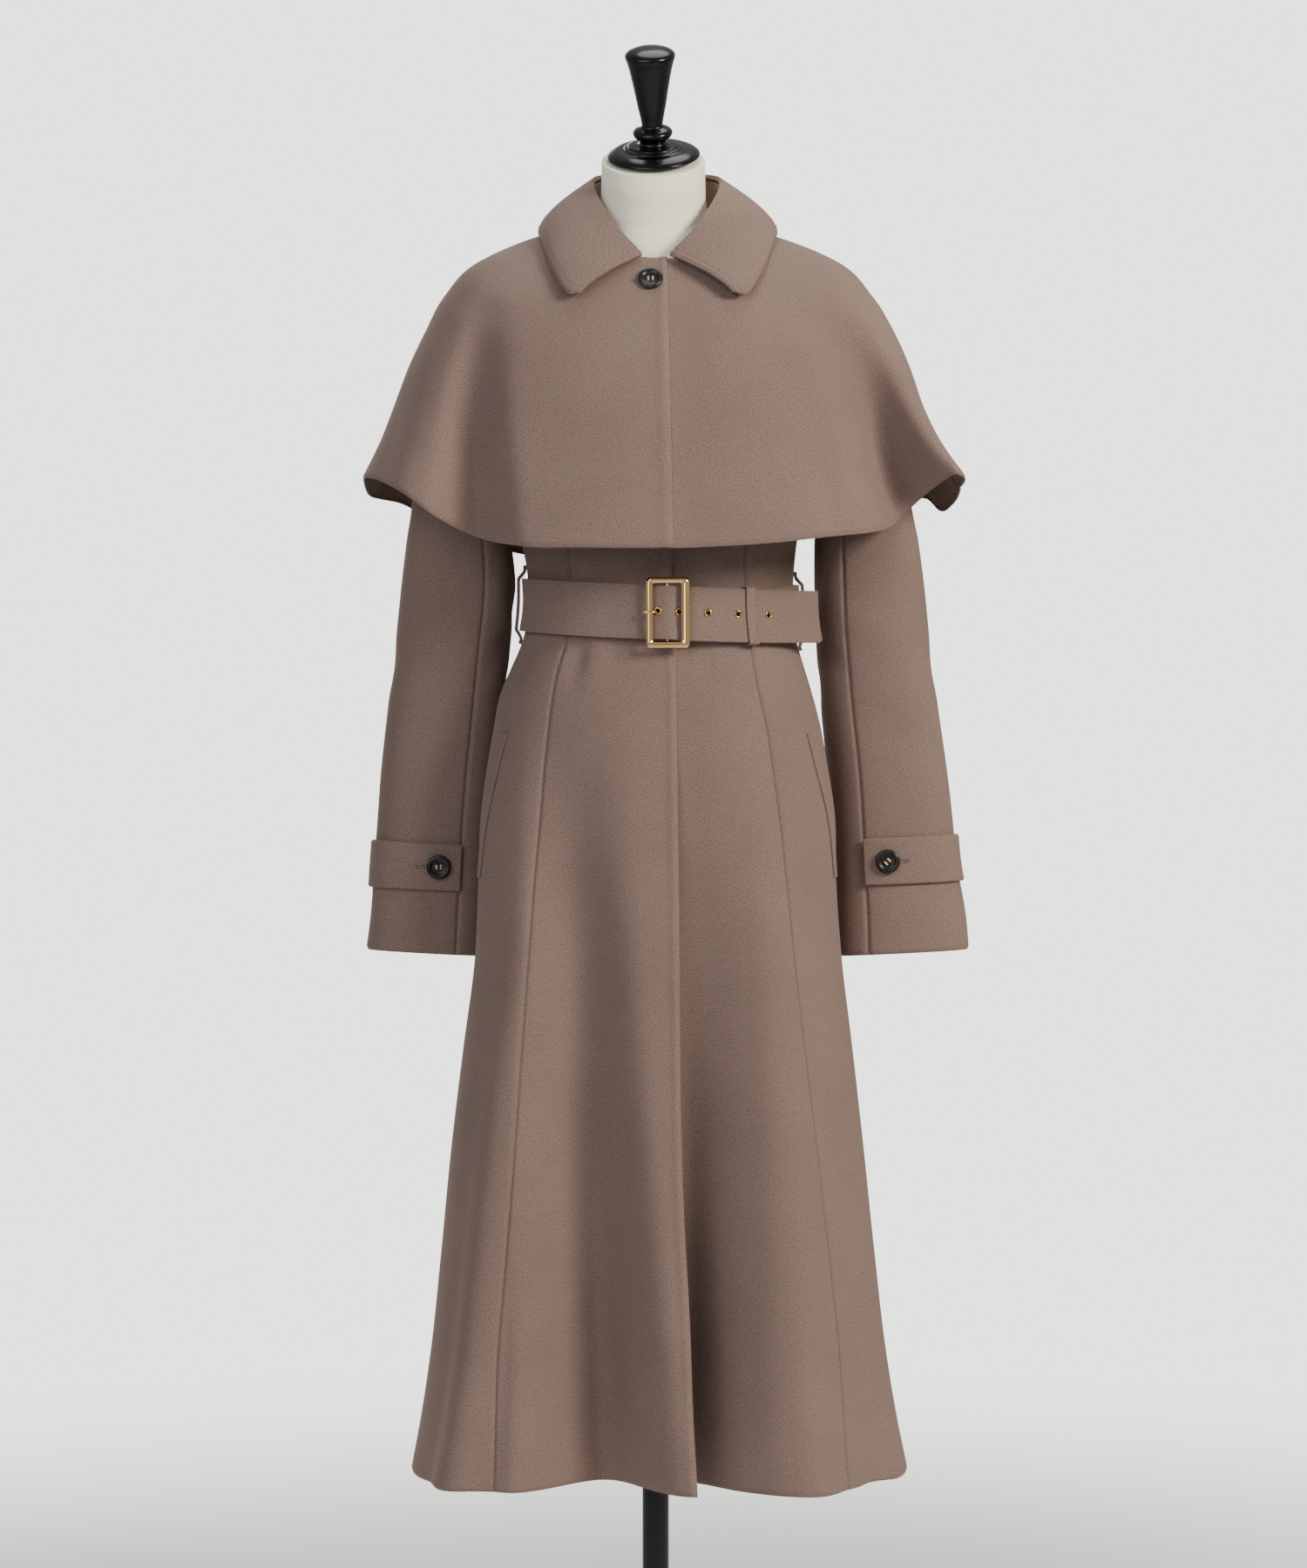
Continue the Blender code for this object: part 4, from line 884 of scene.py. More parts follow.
def heights_between(bottom, top, rows):
    return bottom + (top - bottom) * steps(rows, ROW_GATHER)


def even(degrees):
    """An edge at one angle all the way up."""
    return lambda height: np.full(np.shape(height), float(degrees))


def armhole_edge(height):
    """Half opening of the armhole, in degrees from the side, at heights on the side line."""
    rise = (height - ARM_HEIGHT) / ARM_HALF_HEIGHT
    return ARM_HALF_ANGLE * np.sqrt(np.maximum(0.0, 1 - rise * rise))


SEAM_COLUMNS = {-1: 7, 1: 8}     # of BODY, by the side's sign
BACK_SEAM_COLUMN = 9


def princess(sign, behind=False):
    """A princess seam in front or behind, which gives way to the armhole above its top."""
    column = BACK_SEAM_COLUMN if behind else SEAM_COLUMNS[sign]

    def half(degrees, height):
        return coat_form(180 - degrees if behind else degrees, height)

    def edge(height):
        at_armhole = 90 - armhole_edge(height)
        seam = np.abs(angle_of_x(half, sign * body_table.at(height)[column], height))
        seam = np.where(height > PRINCESS_TOP, at_armhole,
                        np.minimum(seam, at_armhole - TIP_ANGLE))
        return 180 - sign * seam if behind else sign * seam
    return edge


def side_edge(sign, towards_back):
    """The side seam, which opens round the armhole."""
    def edge(height):
        at_seam = sign * (90 - armhole_edge(height))
        return 180 - at_seam if towards_back else at_seam
    return edge


def front_grids(surface, form, heights, outside_right, outside_left, columns, folds=()):
    """The right front and the left front that runs under it."""
    def over(height):
        return edge_angle(form, height)

    def lap(height):
        return over(height) - LAP_SHARE * (over(height) - outside_right(height))
    edge = over(heights)[:, None]
    per_degree = np.linalg.norm(surface(over(heights) + 0.5, heights)
                                - surface(over(heights) - 0.5, heights), axis=-1)[:, None]

    def hung_back(degrees, up):
        return pushed(surface(degrees, up), fold_depth(folds, degrees, up, HEM_HEIGHT),
                      SKIRT_SPREAD)

    def sunk(degrees):
        past = (degrees - edge) * per_degree
        return UNDER_DEPTH * (1 - ease((past - LAP_START) / LAP_RISE))
    right = panel_grid(surface, outside_right, over, heights, columns, bead=EDGE_BEAD)
    left = panel_grid(hung_back, lap, outside_left, heights, columns, sunk)
    return right, left


def hung(piece, node):
    """A sheet of the coat that stands for its node."""
    declare(piece, "wool_cloth", node)
    return piece


def sewn(node, grid, held="hung", rests_on=("form_torso",), **wall):
    """A sheet drawn from its face points, and declared."""
    return hung(cloth(node, grid, **wall), node)


# How finely the panels are drawn.
TALL_ROWS = 190
SHORT_ROWS = 170
CAPE_ROWS = 80
FRONT_COLUMNS = 60
SIDE_FRONT_COLUMNS = 26
SIDE_BACK_COLUMNS = 28
CENTRE_BACK_COLUMNS = 32
CAPE_FRONT_COLUMNS = 76
CAPE_BACK_COLUMNS = 110


def make_body():
    tall = heights_between(BODY[0][0], BODY[-1][0], TALL_ROWS)
    short = heights_between(BODY[0][0], PRINCESS_TOP, SHORT_ROWS)
    right, left = front_grids(coat_surface, coat_form, tall, princess(-1), princess(1),
                              FRONT_COLUMNS, UNDER_FOLDS)
    sewn("centre_front_right", right)
    sewn("centre_front_left", left)
    for node, low, high, heights, columns in (
            ("side_front_right", side_edge(-1, False), princess(-1), short, SIDE_FRONT_COLUMNS),
            ("side_front_left", princess(1), side_edge(1, False), short, SIDE_FRONT_COLUMNS),
            ("side_back_left", side_edge(1, True), princess(1, True), short, SIDE_BACK_COLUMNS),
            ("side_back_right", princess(-1, True), side_edge(-1, True), short,
             SIDE_BACK_COLUMNS),
            ("centre_back_left", princess(1, True), even(180), tall, CENTRE_BACK_COLUMNS),
            ("centre_back_right", even(180), princess(-1, True), tall, CENTRE_BACK_COLUMNS)):
        sewn(node, panel_grid(coat_surface, low, high, heights, columns))


# ---- cape -----------------------------------------------------------------------------------
def make_cape():
    heights = heights_between(CAPE[-1][0], CAPE[0][0], CAPE_ROWS)
    right, left = front_grids(cape_surface, cape_surface, heights, even(-90), even(90),
                              CAPE_FRONT_COLUMNS)
    back = panel_grid(cape_surface, even(90), even(270), heights, CAPE_BACK_COLUMNS)
    for word, grid in (("front_right", right), ("front_left", left), ("back", back)):
        sewn("cape_" + word, grid, "draped")
    make_hem_stitches()


HEM_STITCH_PITCH = 3.2 * MM
HEM_STITCH_LENGTH = 2.4 * MM
STITCH_WIDTH = 0.5 * MM
STITCH_STANDS = 0.1 * MM     # a stitch's middle stands off the cloth this far
HEM_STITCH_ROUND = (-88, 268)    # degrees, all the way round from the wearer's right side
HEM_STITCH_UP = 7 * MM       # the cape's hem is stitched this far above its edge, inside


def make_hem_stitches():
    """The hem's turning inside the cape is held by a row of stitches."""
    degrees = np.linspace(*HEM_STITCH_ROUND, 700)
    height = np.full(degrees.shape, CAPE[-1][0] + HEM_STITCH_UP)
    route = off_surface(cape_surface, degrees, height,
                        np.full(degrees.shape, -CLOTH - STITCH_STANDS))
    run = run_lengths(route[None], 1)[0]
    bm = bmesh.new()
    for middle in np.arange(HEM_STITCH_PITCH / 2, run[-1], HEM_STITCH_PITCH):
        here, ahead = [Vector([np.interp(place, run, route[:, k]) for k in range(3)])
                       for place in (middle, middle + HEM_STITCH_PITCH / 4)]
        turn = (ahead - here).normalized().to_track_quat("X", "Z").to_matrix().to_4x4()
        add_grain(bm, HEM_STITCH_LENGTH, STITCH_WIDTH, Matrix.Translation(here) @ turn)
    declare(finish_piece("cape_hem_stitches", bm, seam_thread), "wool_cloth")


# ---- sleeves --------------------------------------------------------------------------------
ARMHOLE_LEVEL = len(SLEEVE)      # one level past the table's last section
ARMHOLE_GROW = 3.5 * MM
LEVEL_HEIGHT = 40 * MM           # from the cuff to the next section
ARMHOLE_OUT = 0.6 * MM
LEVEL_STEP = 0.05                # of a level, for taking the sleeve's slope
SLEEVE_ROWS = 150
UNDER_SLEEVE_COLUMNS = 36
TOP_SLEEVE_COLUMNS = 66


def sleeve_surface(side):
    """Surface of a sleeve: degrees run from its front line inwards, level 0 is the cuff.
    side is -1 for the wearer's right and 1 for the left."""
    inner_column, outer_column = (3, 4) if side < 0 else (5, 6)

    def surface(degrees, level):
        row = sleeve_table.at(level)
        s, c = np.sin(np.radians(degrees)), np.cos(np.radians(degrees))
        inner = points(side * row[inner_column], row[7], row[1])
        outer = points(side * row[outer_column], row[7], row[2])
        across = (s * (1 + SLEEVE_ROUNDNESS * c * c))[..., None]
        forward = (c * (1 + SLEEVE_ROUNDNESS * s * s))[..., None]
        tube = ((inner + outer) / 2 + (inner - outer) / 2 * across
                - points(0 * s, row[8], 0 * s) * forward)
        height = ARM_HEIGHT - (ARM_HALF_HEIGHT + ARMHOLE_GROW) * s
        swing = (ARM_HALF_ANGLE + math.degrees(ARMHOLE_GROW / ARM_DISTANCE)) * c
        armhole = pushed(coat_form(side * (90 - swing), height), ARMHOLE_OUT)
        reach = ease(level - (ARMHOLE_LEVEL - 1))[..., None]
        return tube * (1 - reach) + armhole * reach
    return surface


def crease_depth(degrees, level):
    total = 0.0
    for middle, at, half_degrees, half_level, depth, slant in SLEEVE_CREASES:
        away = turn_between(degrees, middle)
        total = total + (depth * swell(away / half_degrees)
                         * swell((level - at - slant * away) / half_level))
    return total


def off_sleeve(side, degrees, level, out):
    """Points of a sleeve moved out from its face."""
    degrees, level = np.broadcast_arrays(degrees, level)
    return off_surface(sleeve_surface(side), degrees, level, -side * out, 1.0, LEVEL_STEP)


def sleeve_grid(side, low, high, columns):
    level = ARMHOLE_LEVEL * steps(SLEEVE_ROWS)[:, None]
    share = steps(columns, PANEL_GATHER)[None, :]
    around = np.linalg.norm(np.diff(sleeve_surface(side)(
        np.array([low, (low + high) / 2, high]), np.ones(3)), axis=0), axis=-1).sum()
    gap = SEAM_GAP / 2 * (high - low) / around
    degrees = low + gap + (high - low - 2 * gap) * share
    depth = dip(share * around) + dip((1 - share) * around)
    depth = depth + dip(level * LEVEL_HEIGHT, HEM_SOFT)
    out = crease_depth(degrees, level) - depth
    grid = off_sleeve(side, degrees, level, out)
    return grid if side < 0 else grid[:, ::-1]


def make_sleeves():
    for side, word in SIDES:
        for part, low, high, columns in (
                ("under_sleeve_", SLEEVE_SEAM_FRONT, SLEEVE_SEAM_BACK, UNDER_SLEEVE_COLUMNS),
                ("top_sleeve_", SLEEVE_SEAM_BACK - 360, SLEEVE_SEAM_FRONT, TOP_SLEEVE_COLUMNS)):
            sewn(part + word, sleeve_grid(side, low, high, columns))


# ---- collar ---------------------------------------------------------------------------------
LEAF_TIP_ROUND = 0.10    # the leaf's tips are rounded over this share of its depth
LEAF_TIP_REACH = 0.06    # and over this share of its length
LEAF_DEPTH = 74 * MM
LEAF_HALF_LENGTH = 160 * MM
LEAF_EDGE_SOFT = 1.6 * MM
LEAF_RIM = 1.5 * MM
LEAF_GROOVE = 0.7 * MM   # the leaf's two layers part along this shallow groove
LEAF_GROOVE_IN = 4.2 * MM
LEAF_GROOVE_SOFT = 1.0 * MM
STAND_ENDS = (0.022, 0.978)      # the stand stops short of the leaf's front ends
STAND_SUNK = 1.2 * MM


def collar_line(along, first):
    """One of the collar's three lines: along is 0 at the left front, 1 behind, 2 at the right."""
    row = collar_table.at(np.where(along <= 1, along, 2 - along))
    sign = np.where(along <= 1, COLLAR_LEFT_WIDER, -1.0)
    return points(row[first] * sign, row[first + 1], row[first + 2])


def leaf_surface(along, up):
    """The collar's leaf: up is 0 at its outer edge and 1 at the roll."""
    roll, edge = collar_line(along, 4), collar_line(along, 7)
    up = np.asarray(up)[..., None]
    crown = LEAF_CROWN * np.sin(np.pi * np.clip(up, 0, 1) ** LEAF_FULLNESS)
    return edge + (roll - edge) * up + crown * np.array((0, 0, 1.0))


def stand_surface(along, up):
    base, roll = collar_line(along, 1), collar_line(along, 4)
    tall = np.linalg.norm(roll - base, axis=-1)
    return base + (roll - base) * (up * (1 - STAND_DROP / tall))[..., None]


def make_collar():
    along = 2 * steps(150, 0.6)[None, :]
    up = steps(28, 0.5)[:, None]
    # The tips: near each front end the outer edge draws back to round the corner.
    end = np.minimum(along, 2 - along)
    corner = LEAF_TIP_ROUND * np.clip(1 - end / LEAF_TIP_REACH, 0, 1) ** 2
    up = up + corner * (1 - up)
    along, up = np.broadcast_arrays(along, up)
    sunk = 0.0
    for away in ((up - corner) * LEAF_DEPTH, np.minimum(along, 2 - along) * LEAF_HALF_LENGTH):
        groove = LEAF_GROOVE * bell(away - LEAF_GROOVE_IN, LEAF_GROOVE_SOFT)
        sunk = sunk + dip(away, LEAF_EDGE_SOFT) + groove
    leaf = off_surface(leaf_surface, along, up, -sunk, 0.01, 0.02)
    sewn("collar_leaf", leaf, "folded", ("cape_back", "cape_front_right"),
         thick=COLLAR_THICK, rim=LEAF_RIM, rim_steps=3)
    along, up = np.meshgrid(2 * np.linspace(*STAND_ENDS, 141), steps(16))
    stand = off_surface(stand_surface, along, up, np.full(along.shape, -STAND_SUNK), 0.01, 0.02)
    sewn("collar_stand", stand, "folded", thick=STAND_THICK)


# ---- pieces that lie on a panel -------------------------------------------------------------
PANEL_RADIUS = 0.16      # for turning widths on the side panels into degrees
WELT_LENGTH = 150 * MM
WELT_LIFT = 0.5 * MM     # a welt's edge stands off the panel this far ...
WELT_PAD = 1.6 * MM      # ... and its middle this much further
WELT_SOFT = 1.6 * MM     # over this width
WELT_END_SEAM = 6 * MM   # a seam crosses the welt this far from its top end
WELT_SEAM_DEPTH = 0.9 * MM
WELT_SEAM_SOFT = 0.9 * MM
WELT_WALL = 0.4 * MM
WELT_RIM = 0.15 * MM
STRAP_START = 2 / 11     # share of the top sleeve's width that the strap leaves bare
STRAP_LENGTH = 200 * MM
STRAP_WIDTH = 43 * MM
STRAP_DROP = 1.4 * MM    # its edges lie this much lower
STRAP_SOFT = 1.8 * MM
STRAP_SPRING = 0.6 * MM  # and its back stands off the sleeve this much more


def edge_fall(share_across, share_up, width, length, soft):
    """Share by which a small piece's face has fallen: 1 at its four edges, 0 inside."""
    near = np.minimum(np.minimum(share_across, 1 - share_across) * width,
                      np.minimum(share_up, 1 - share_up) * length)
    return edge_round(near, soft)


def make_welts():
    across, up = np.meshgrid(steps(12, 0.4), steps(70, 0.5))
    low, high = WELT[0][0], WELT[-1][0]
    height = low + (high - low) * up
    half_degrees = math.degrees(WELT_WIDTH / 2 / PANEL_RADIUS)
    to_seam = (1 - up) * WELT_LENGTH - WELT_END_SEAM
    fall = edge_fall(across, up, WELT_WIDTH, WELT_LENGTH, WELT_SOFT)
    lift = WELT_LIFT + WELT_PAD * (1 - fall) - WELT_SEAM_DEPTH * bell(to_seam, WELT_SEAM_SOFT)
    for side, word in SIDES:
        degrees = side * welt_table.at(height)[1] + (across * 2 - 1) * half_degrees
        sewn("pocket_welt_" + word, off_surface(coat_surface, degrees, height, lift), "laid",
             ("side_front_" + word,), thick=WELT_WALL, rim=WELT_RIM)


def make_cuff_straps():
    back = SLEEVE_SEAM_BACK - 360
    first = back + STRAP_START * (SLEEVE_SEAM_FRONT - back)
    across, up = np.meshgrid(steps(120, 0.75), steps(22, 0.6))
    degrees = first + (SLEEVE_SEAM_FRONT - first) * across
    fall = edge_fall(across, up, STRAP_LENGTH, STRAP_WIDTH, STRAP_SOFT)
    for side, word in SIDES:
        shift = STRAP_LEFT_SHIFT if side > 0 else 0.0
        level = STRAP_LEVELS[0] + (STRAP_LEVELS[1] - STRAP_LEVELS[0]) * up + shift
        grid = off_sleeve(side, degrees, level, LAY_GAP + STRAP_THICK - STRAP_DROP * fall)
        sewn("cuff_strap_" + word, grid if side < 0 else grid[:, ::-1], "laid",
             ("top_sleeve_" + word,), thick=STRAP_THICK - STRAP_SPRING)


# ---- belt -----------------------------------------------------------------------------------
BELT_STITCH_IN = 2.2 * MM    # the belt's edge stitching runs this far in from its edges
BELT_STITCH_SINK = 0.35 * MM
BELT_STITCH_SOFT = 0.8 * MM
BELT_EDGE_DROP = 0.8 * MM    # its edges are rounded by this much ...
BELT_EDGE_SOFT = 1.2 * MM    # ... over this width
BELT_SPRING = 0.4 * MM       # its back stands off the coat this much more
BELT_RIM = 0.5 * MM
TAIL_CORNER = 3.0            # degrees before the free end over which its lower corner rounds
TAIL_CORNER_RISE = 0.10      # share of half the width by which it rises there
EYELET_SINK = 0.5 * MM       # the cloth sinks round each eyelet
EYELET_SINK_REACH = 5 * MM
EYELET_PUNCH = 2.5 * MM
PUNCH_DEPTH = 7.2 * MM
PUNCH_IN = 1.4 * MM          # the punch's middle lies this far under the belt's face
FIRST_RISE_BEGINS = 45       # degrees, where the first turn's rise begins and ends
FIRST_RISE_GROWS = 30
FIRST_RISE_ENDS = 150
FIRST_RISE_FADES = 90


def belt_middle(degrees):
    """Height of the belt's middle: it dips at the front and to the wearer's left."""
    angle = np.radians(degrees)
    rise = (FIRST_RISE * ease((degrees - FIRST_RISE_BEGINS) / FIRST_RISE_GROWS)
            * (1 - ease((degrees - FIRST_RISE_ENDS) / FIRST_RISE_FADES)))
    return BELT_HEIGHT + rise - BELT_FRONT_DIP * np.cos(angle) - BELT_LEFT_DIP * np.sin(angle)


def belt_off(degrees):
    """How far the belt's inner face stands off the coat, by degrees along the strip."""
    over = ease((degrees - LAP_BEGINS) / LAP_CLIMB)
    hump = np.maximum(0.0, 1 - np.abs(degrees - 360 - BUCKLE_MID) / HUMP_REACH)
    return BELT_OFF + BELT_LAP * over + BUCKLE_HUMP * ease(hump)


def belt_point(degrees, up, out):
    """Points of the belt: up runs from -1 at its lower edge to 1 at its upper edge."""
    degrees, up, out = np.broadcast_arrays(np.asarray(degrees, float), up, out)
    height = belt_middle(degrees) + up * BELT_WIDTH / 2
    point = off_surface(coat_form, degrees % 360, height, belt_off(degrees) + out)
    past = np.maximum(0.0, (degrees - TAIL_BEGINS) / TAIL_CLIMB)
    return pushed(point, TAIL_LIFT * past ** TAIL_CURVE)


def belt_frame(degrees, out, up=0.0):
    """Place on the belt's outer face, with local Z outwards and local Y up the belt."""
    low = Vector(belt_point(degrees - EYELET_FLAT, up, BELT_THICK))
    high = Vector(belt_point(degrees + EYELET_FLAT, up, BELT_THICK))
    rise = belt_point(degrees, 1, BELT_THICK) - belt_point(degrees, 0, BELT_THICK)
    return surface_frame((low + high) / 2, high - low, rise, out)


def make_belt():
    degrees, up = np.meshgrid(BELT_START + (BELT_END - BELT_START) * steps(519),
                              2 * steps(26, 0.6) - 1)
    # The free end's lower corner is rounded.
    near_end = np.clip(1 - (BELT_END - degrees) / TAIL_CORNER, 0, 1)
    up = np.where(up < 0, up * (1 - TAIL_CORNER_RISE * near_end ** 2), up)
    edge = BELT_WIDTH / 2 * (1 - np.abs(up))
    sunk = (BELT_STITCH_SINK * bell(edge - BELT_STITCH_IN, BELT_STITCH_SOFT)
            + BELT_EDGE_DROP * edge_round(edge, BELT_EDGE_SOFT))
    flat = belt_point(degrees, up, BELT_THICK)
    for place in EYELETS:
        middle = np.asarray(belt_frame(place, 0.0, EYELET_RISE).translation)
        away = np.linalg.norm(flat - middle, axis=-1)
        sunk = sunk + EYELET_SINK * bell(away, EYELET_SINK_REACH)
    grid = belt_point(degrees, up, BELT_THICK - sunk)
    belt = applied(cloth("belt", grid, BELT_THICK - BELT_SPRING, BELT_RIM))
    plugs = bmesh.new()
    for place in EYELETS:
        add_plug(plugs, EYELET_PUNCH, PUNCH_DEPTH, 24, belt_frame(place, -PUNCH_IN, EYELET_RISE))
    cut_out(belt, plugs, SHARP_EDGE)
    hung(belt, "belt")


LOOP_EDGE_DROP = 0.35 * MM   # a narrow strip's long edges lie this much lower


def loop_grid(rows, middle, width, radius, columns):
    """Face points of a narrow strip that passes over the belt: rows hold a height and how far
    off the coat."""
    half = math.degrees(width / 2 / radius)
    across, height = np.meshgrid(2 * steps(columns) - 1, rows[:, 0])
    degrees = np.broadcast_to(middle + half * (2 * steps(columns, 0.5) - 1), height.shape)
    off = rows[:, 1:2] - LOOP_EDGE_DROP * across ** 4
    return off_surface(coat_form, degrees, height, off)


def smooth_route(corners, count):
    """A rounded open route through corner points, by a Catmull-Rom curve."""
    corners = np.array(corners, float)
    ends = np.concatenate([[2 * corners[0] - corners[1]], corners, [2 * corners[-1] - corners[-2]]])
    t = np.linspace(0, len(corners) - 1 - 1e-9, count)
    k = t.astype(int)
    f = (t - k).reshape((-1,) + (1,) * (corners.ndim - 1))
    a, b, c, d = ends[k], ends[k + 1], ends[k + 2], ends[k + 3]
    return 0.5 * (2 * b + (c - a) * f + (2 * a - 5 * b + 4 * c - d) * f ** 2
                  + (3 * b - a - 3 * c + d) * f ** 3)


KEEPER_TURN = 1.6 * MM       # radius at which the keeper turns over the belt's edges


def make_keeper():
    """The loop of cloth that holds the belt's free end: a flat band round both turns."""
    wrap = KEEPER_GAP + KEEPER_THICK
    inside = belt_off(KEEPER_ANGLE) - wrap
    outside = belt_off(360 + KEEPER_ANGLE) + BELT_THICK + wrap
    middle = belt_middle(KEEPER_ANGLE)
    tall = BELT_WIDTH / 2 + wrap
    route = []
    for way, (off, up) in enumerate(((outside, -tall), (outside, tall), (inside, tall),
                                     (inside, -tall))):
        off_middle = off - math.copysign(KEEPER_TURN, off - (inside + outside) / 2)
        up_middle = up - math.copysign(KEEPER_TURN, up)
        for angle in np.radians(90 * way - 90 + np.linspace(0, 90, 6)):
            route.append((middle + up_middle + KEEPER_TURN * math.sin(angle),
                          off_middle + KEEPER_TURN * math.cos(angle)))
        if way == 0:
            route.extend((middle + rise * tall, outside) for rise in np.linspace(-.8, .8, 9))
    rows = np.array(route + route[:1])
    bm = sheet_bmesh(loop_grid(rows, KEEPER_ANGLE, KEEPER_WIDTH, BELT_RADIUS, 12))
    bmesh.ops.remove_doubles(bm, verts=bm.verts, dist=0.02 * MM)
    keeper = walled(finish_piece("belt_keeper_melton", bm, melton, None), KEEPER_THICK)
    hung(keeper, "belt_keeper")


LOOP_WIDTH = 8 * MM
LOOP_THICK = 3.0 * MM
LOOP_SLACK = 1.2 * MM        # between a loop and the belt's face
LOOP_RADIUS = 0.125          # for turning widths at the side seams into degrees
LOOP_RIM = 0.5 * MM
SEWN_GAP = 0.15 * MM         # a loop's ends lie this close to the coat
# Half a loop's route from its sewn end up to its middle: share of the belt's half width, and mm
# off the coat at the sewn end or off the belt above it.
LOOP_SEWN = ((1.46, 0), (1.34, 0), (1.26, 0.8))
LOOP_OVER = ((1.13, -3.0), (1.0, -0.2), (0.6, 0.9))
LOOP_MIDDLE = 1.4


def make_belt_loops():
    """Carriers on the side seams: a strip that stands off over the belt."""
    for word, degrees in (("right", 270.0), ("left", 90.0)):
        off = belt_off(degrees) + BELT_THICK + LOOP_SLACK
        half = [(up, SEWN_GAP + out * MM) for up, out in LOOP_SEWN]
        half += [(up, off + out * MM) for up, out in LOOP_OVER]
        whole = [(-up, out) for up, out in half] + [(0, off + LOOP_MIDDLE * MM)] + half[::-1]
        rows = smooth_route([(belt_middle(degrees) + up * BELT_WIDTH / 2, out + LOOP_THICK)
                             for up, out in whole], 90)
        grid = loop_grid(rows, degrees, LOOP_WIDTH, LOOP_RADIUS, 10)
        sewn("belt_loop_" + word, grid, "hung", ("side_back_" + word,),
             thick=LOOP_THICK, rim=LOOP_RIM)


# ---- buckle and eyelets ---------------------------------------------------------------------
BUCKLE_WIDTH = 39.5 * MM
BUCKLE_HEIGHT = 64.5 * MM
BUCKLE_CORNER = 4.0 * MM
BUCKLE_TILT = 2.5
BUCKLE_LIFT = 2.2 * MM
BUCKLE_BARS = {"left": 5.9 * MM, "right": 7.2 * MM, "top": 5.2 * MM, "bottom": 6.4 * MM}
CENTRE_BAR = 1.4 * MM
PRONG_RADIUS = 1.3 * MM
BUCKLE_INNER_CORNER = 1.3 * MM
# How far each line of the frame's section lies from its outer edge (0) to its opening (1), and
# its height in mm.
BUCKLE_SECTION = (
    (0.02, 0.0), (0.0, 0.5), (0.0, 1.4), (0.05, 1.75), (0.30, 3.05), (0.38, 3.2),
    (0.56, 3.2), (0.64, 3.05), (0.94, 1.75), (1.0, 1.4), (1.0, 0.5), (0.98, 0.0),
)
# The prong's route on the belt, in mm: along the belt, up and off its face.
PRONG_ROUTE = ((-23.2, 0.5, 3.3), (-21.2, 0.5, 4.9), (-17.5, 0.5, 5.5), (-13.8, 0.5, 5.2),
               (-11.4, 0.5, 3.6), (-10.4, 0.5, 1.4))
PRONG_SWELL = 0.12           # share by which the prong is thicker in its middle
PRONG_TIP = 1 / 14           # share of its length that is its rounded tip
CENTRE_BAR_SHORT = 5.2 * MM  # the bar stops this far inside the frame's outer edge
CENTRE_BAR_GAP = 0.6 * MM
# A rolled eyelet's section in mm: its roll's middle and size, then its barrel.
EYELET_ROLL = (2.75, 0.25, 0.75, 0.85)
EYELET_BARREL = ((1.95, -0.4), (1.95, -2.6), (2.25, -2.6), (2.25, -0.3), (2.5, -0.15))


def rounded_corner(x, y, radius, count):
    """Points of one rounded corner of a rectangle, round from its clockwise side."""
    start = {(1, -1): -90, (1, 1): 0, (-1, 1): 90, (-1, -1): 180}[(np.sign(x), np.sign(y))]
    angles = np.radians(start + np.linspace(0, 90, count))
    centre = (x - math.copysign(radius, x), y - math.copysign(radius, y))
    return [(centre[0] + radius * math.cos(a), centre[1] + radius * math.sin(a)) for a in angles]


def rounded_ring(left, right, bottom, top, radius, count=9):
    corners = ((right, bottom), (right, top), (left, top), (left, bottom))
    return [p for x, y in corners for p in rounded_corner(x, y, radius, count)]


def make_buckle_frame(place):
    """A cast frame: a rounded ring whose section is bevelled on both sides of a flat top."""
    wide, tall = BUCKLE_WIDTH / 2, BUCKLE_HEIGHT / 2
    bm = bmesh.new()
    loops = []
    for share, height in BUCKLE_SECTION:
        inset = {side: bar * share for side, bar in BUCKLE_BARS.items()}
        radius = BUCKLE_CORNER - (BUCKLE_CORNER - BUCKLE_INNER_CORNER) * share
        ring = rounded_ring(-wide + inset["left"], wide - inset["right"],
                            -tall + inset["bottom"], tall - inset["top"], radius)
        loops.append([bm.verts.new((x, y, height * MM)) for x, y in ring])
    for here, there in zip(loops, loops[1:] + loops[:1]):
        edges = []
        for loop in (here, there):
            for a, b in zip(loop, loop[1:] + loop[:1]):
                edges.append(bm.edges.get((a, b)) or bm.edges.new((a, b)))
        bmesh.ops.bridge_loops(bm, edges=edges)
    bmesh.ops.recalc_face_normals(bm, faces=bm.faces)
    bmesh.ops.transform(bm, matrix=place, verts=bm.verts)
    declare(finish_piece("buckle_frame_plated", bm, gold_plate, 22), "gold_metal", "buckle_frame")


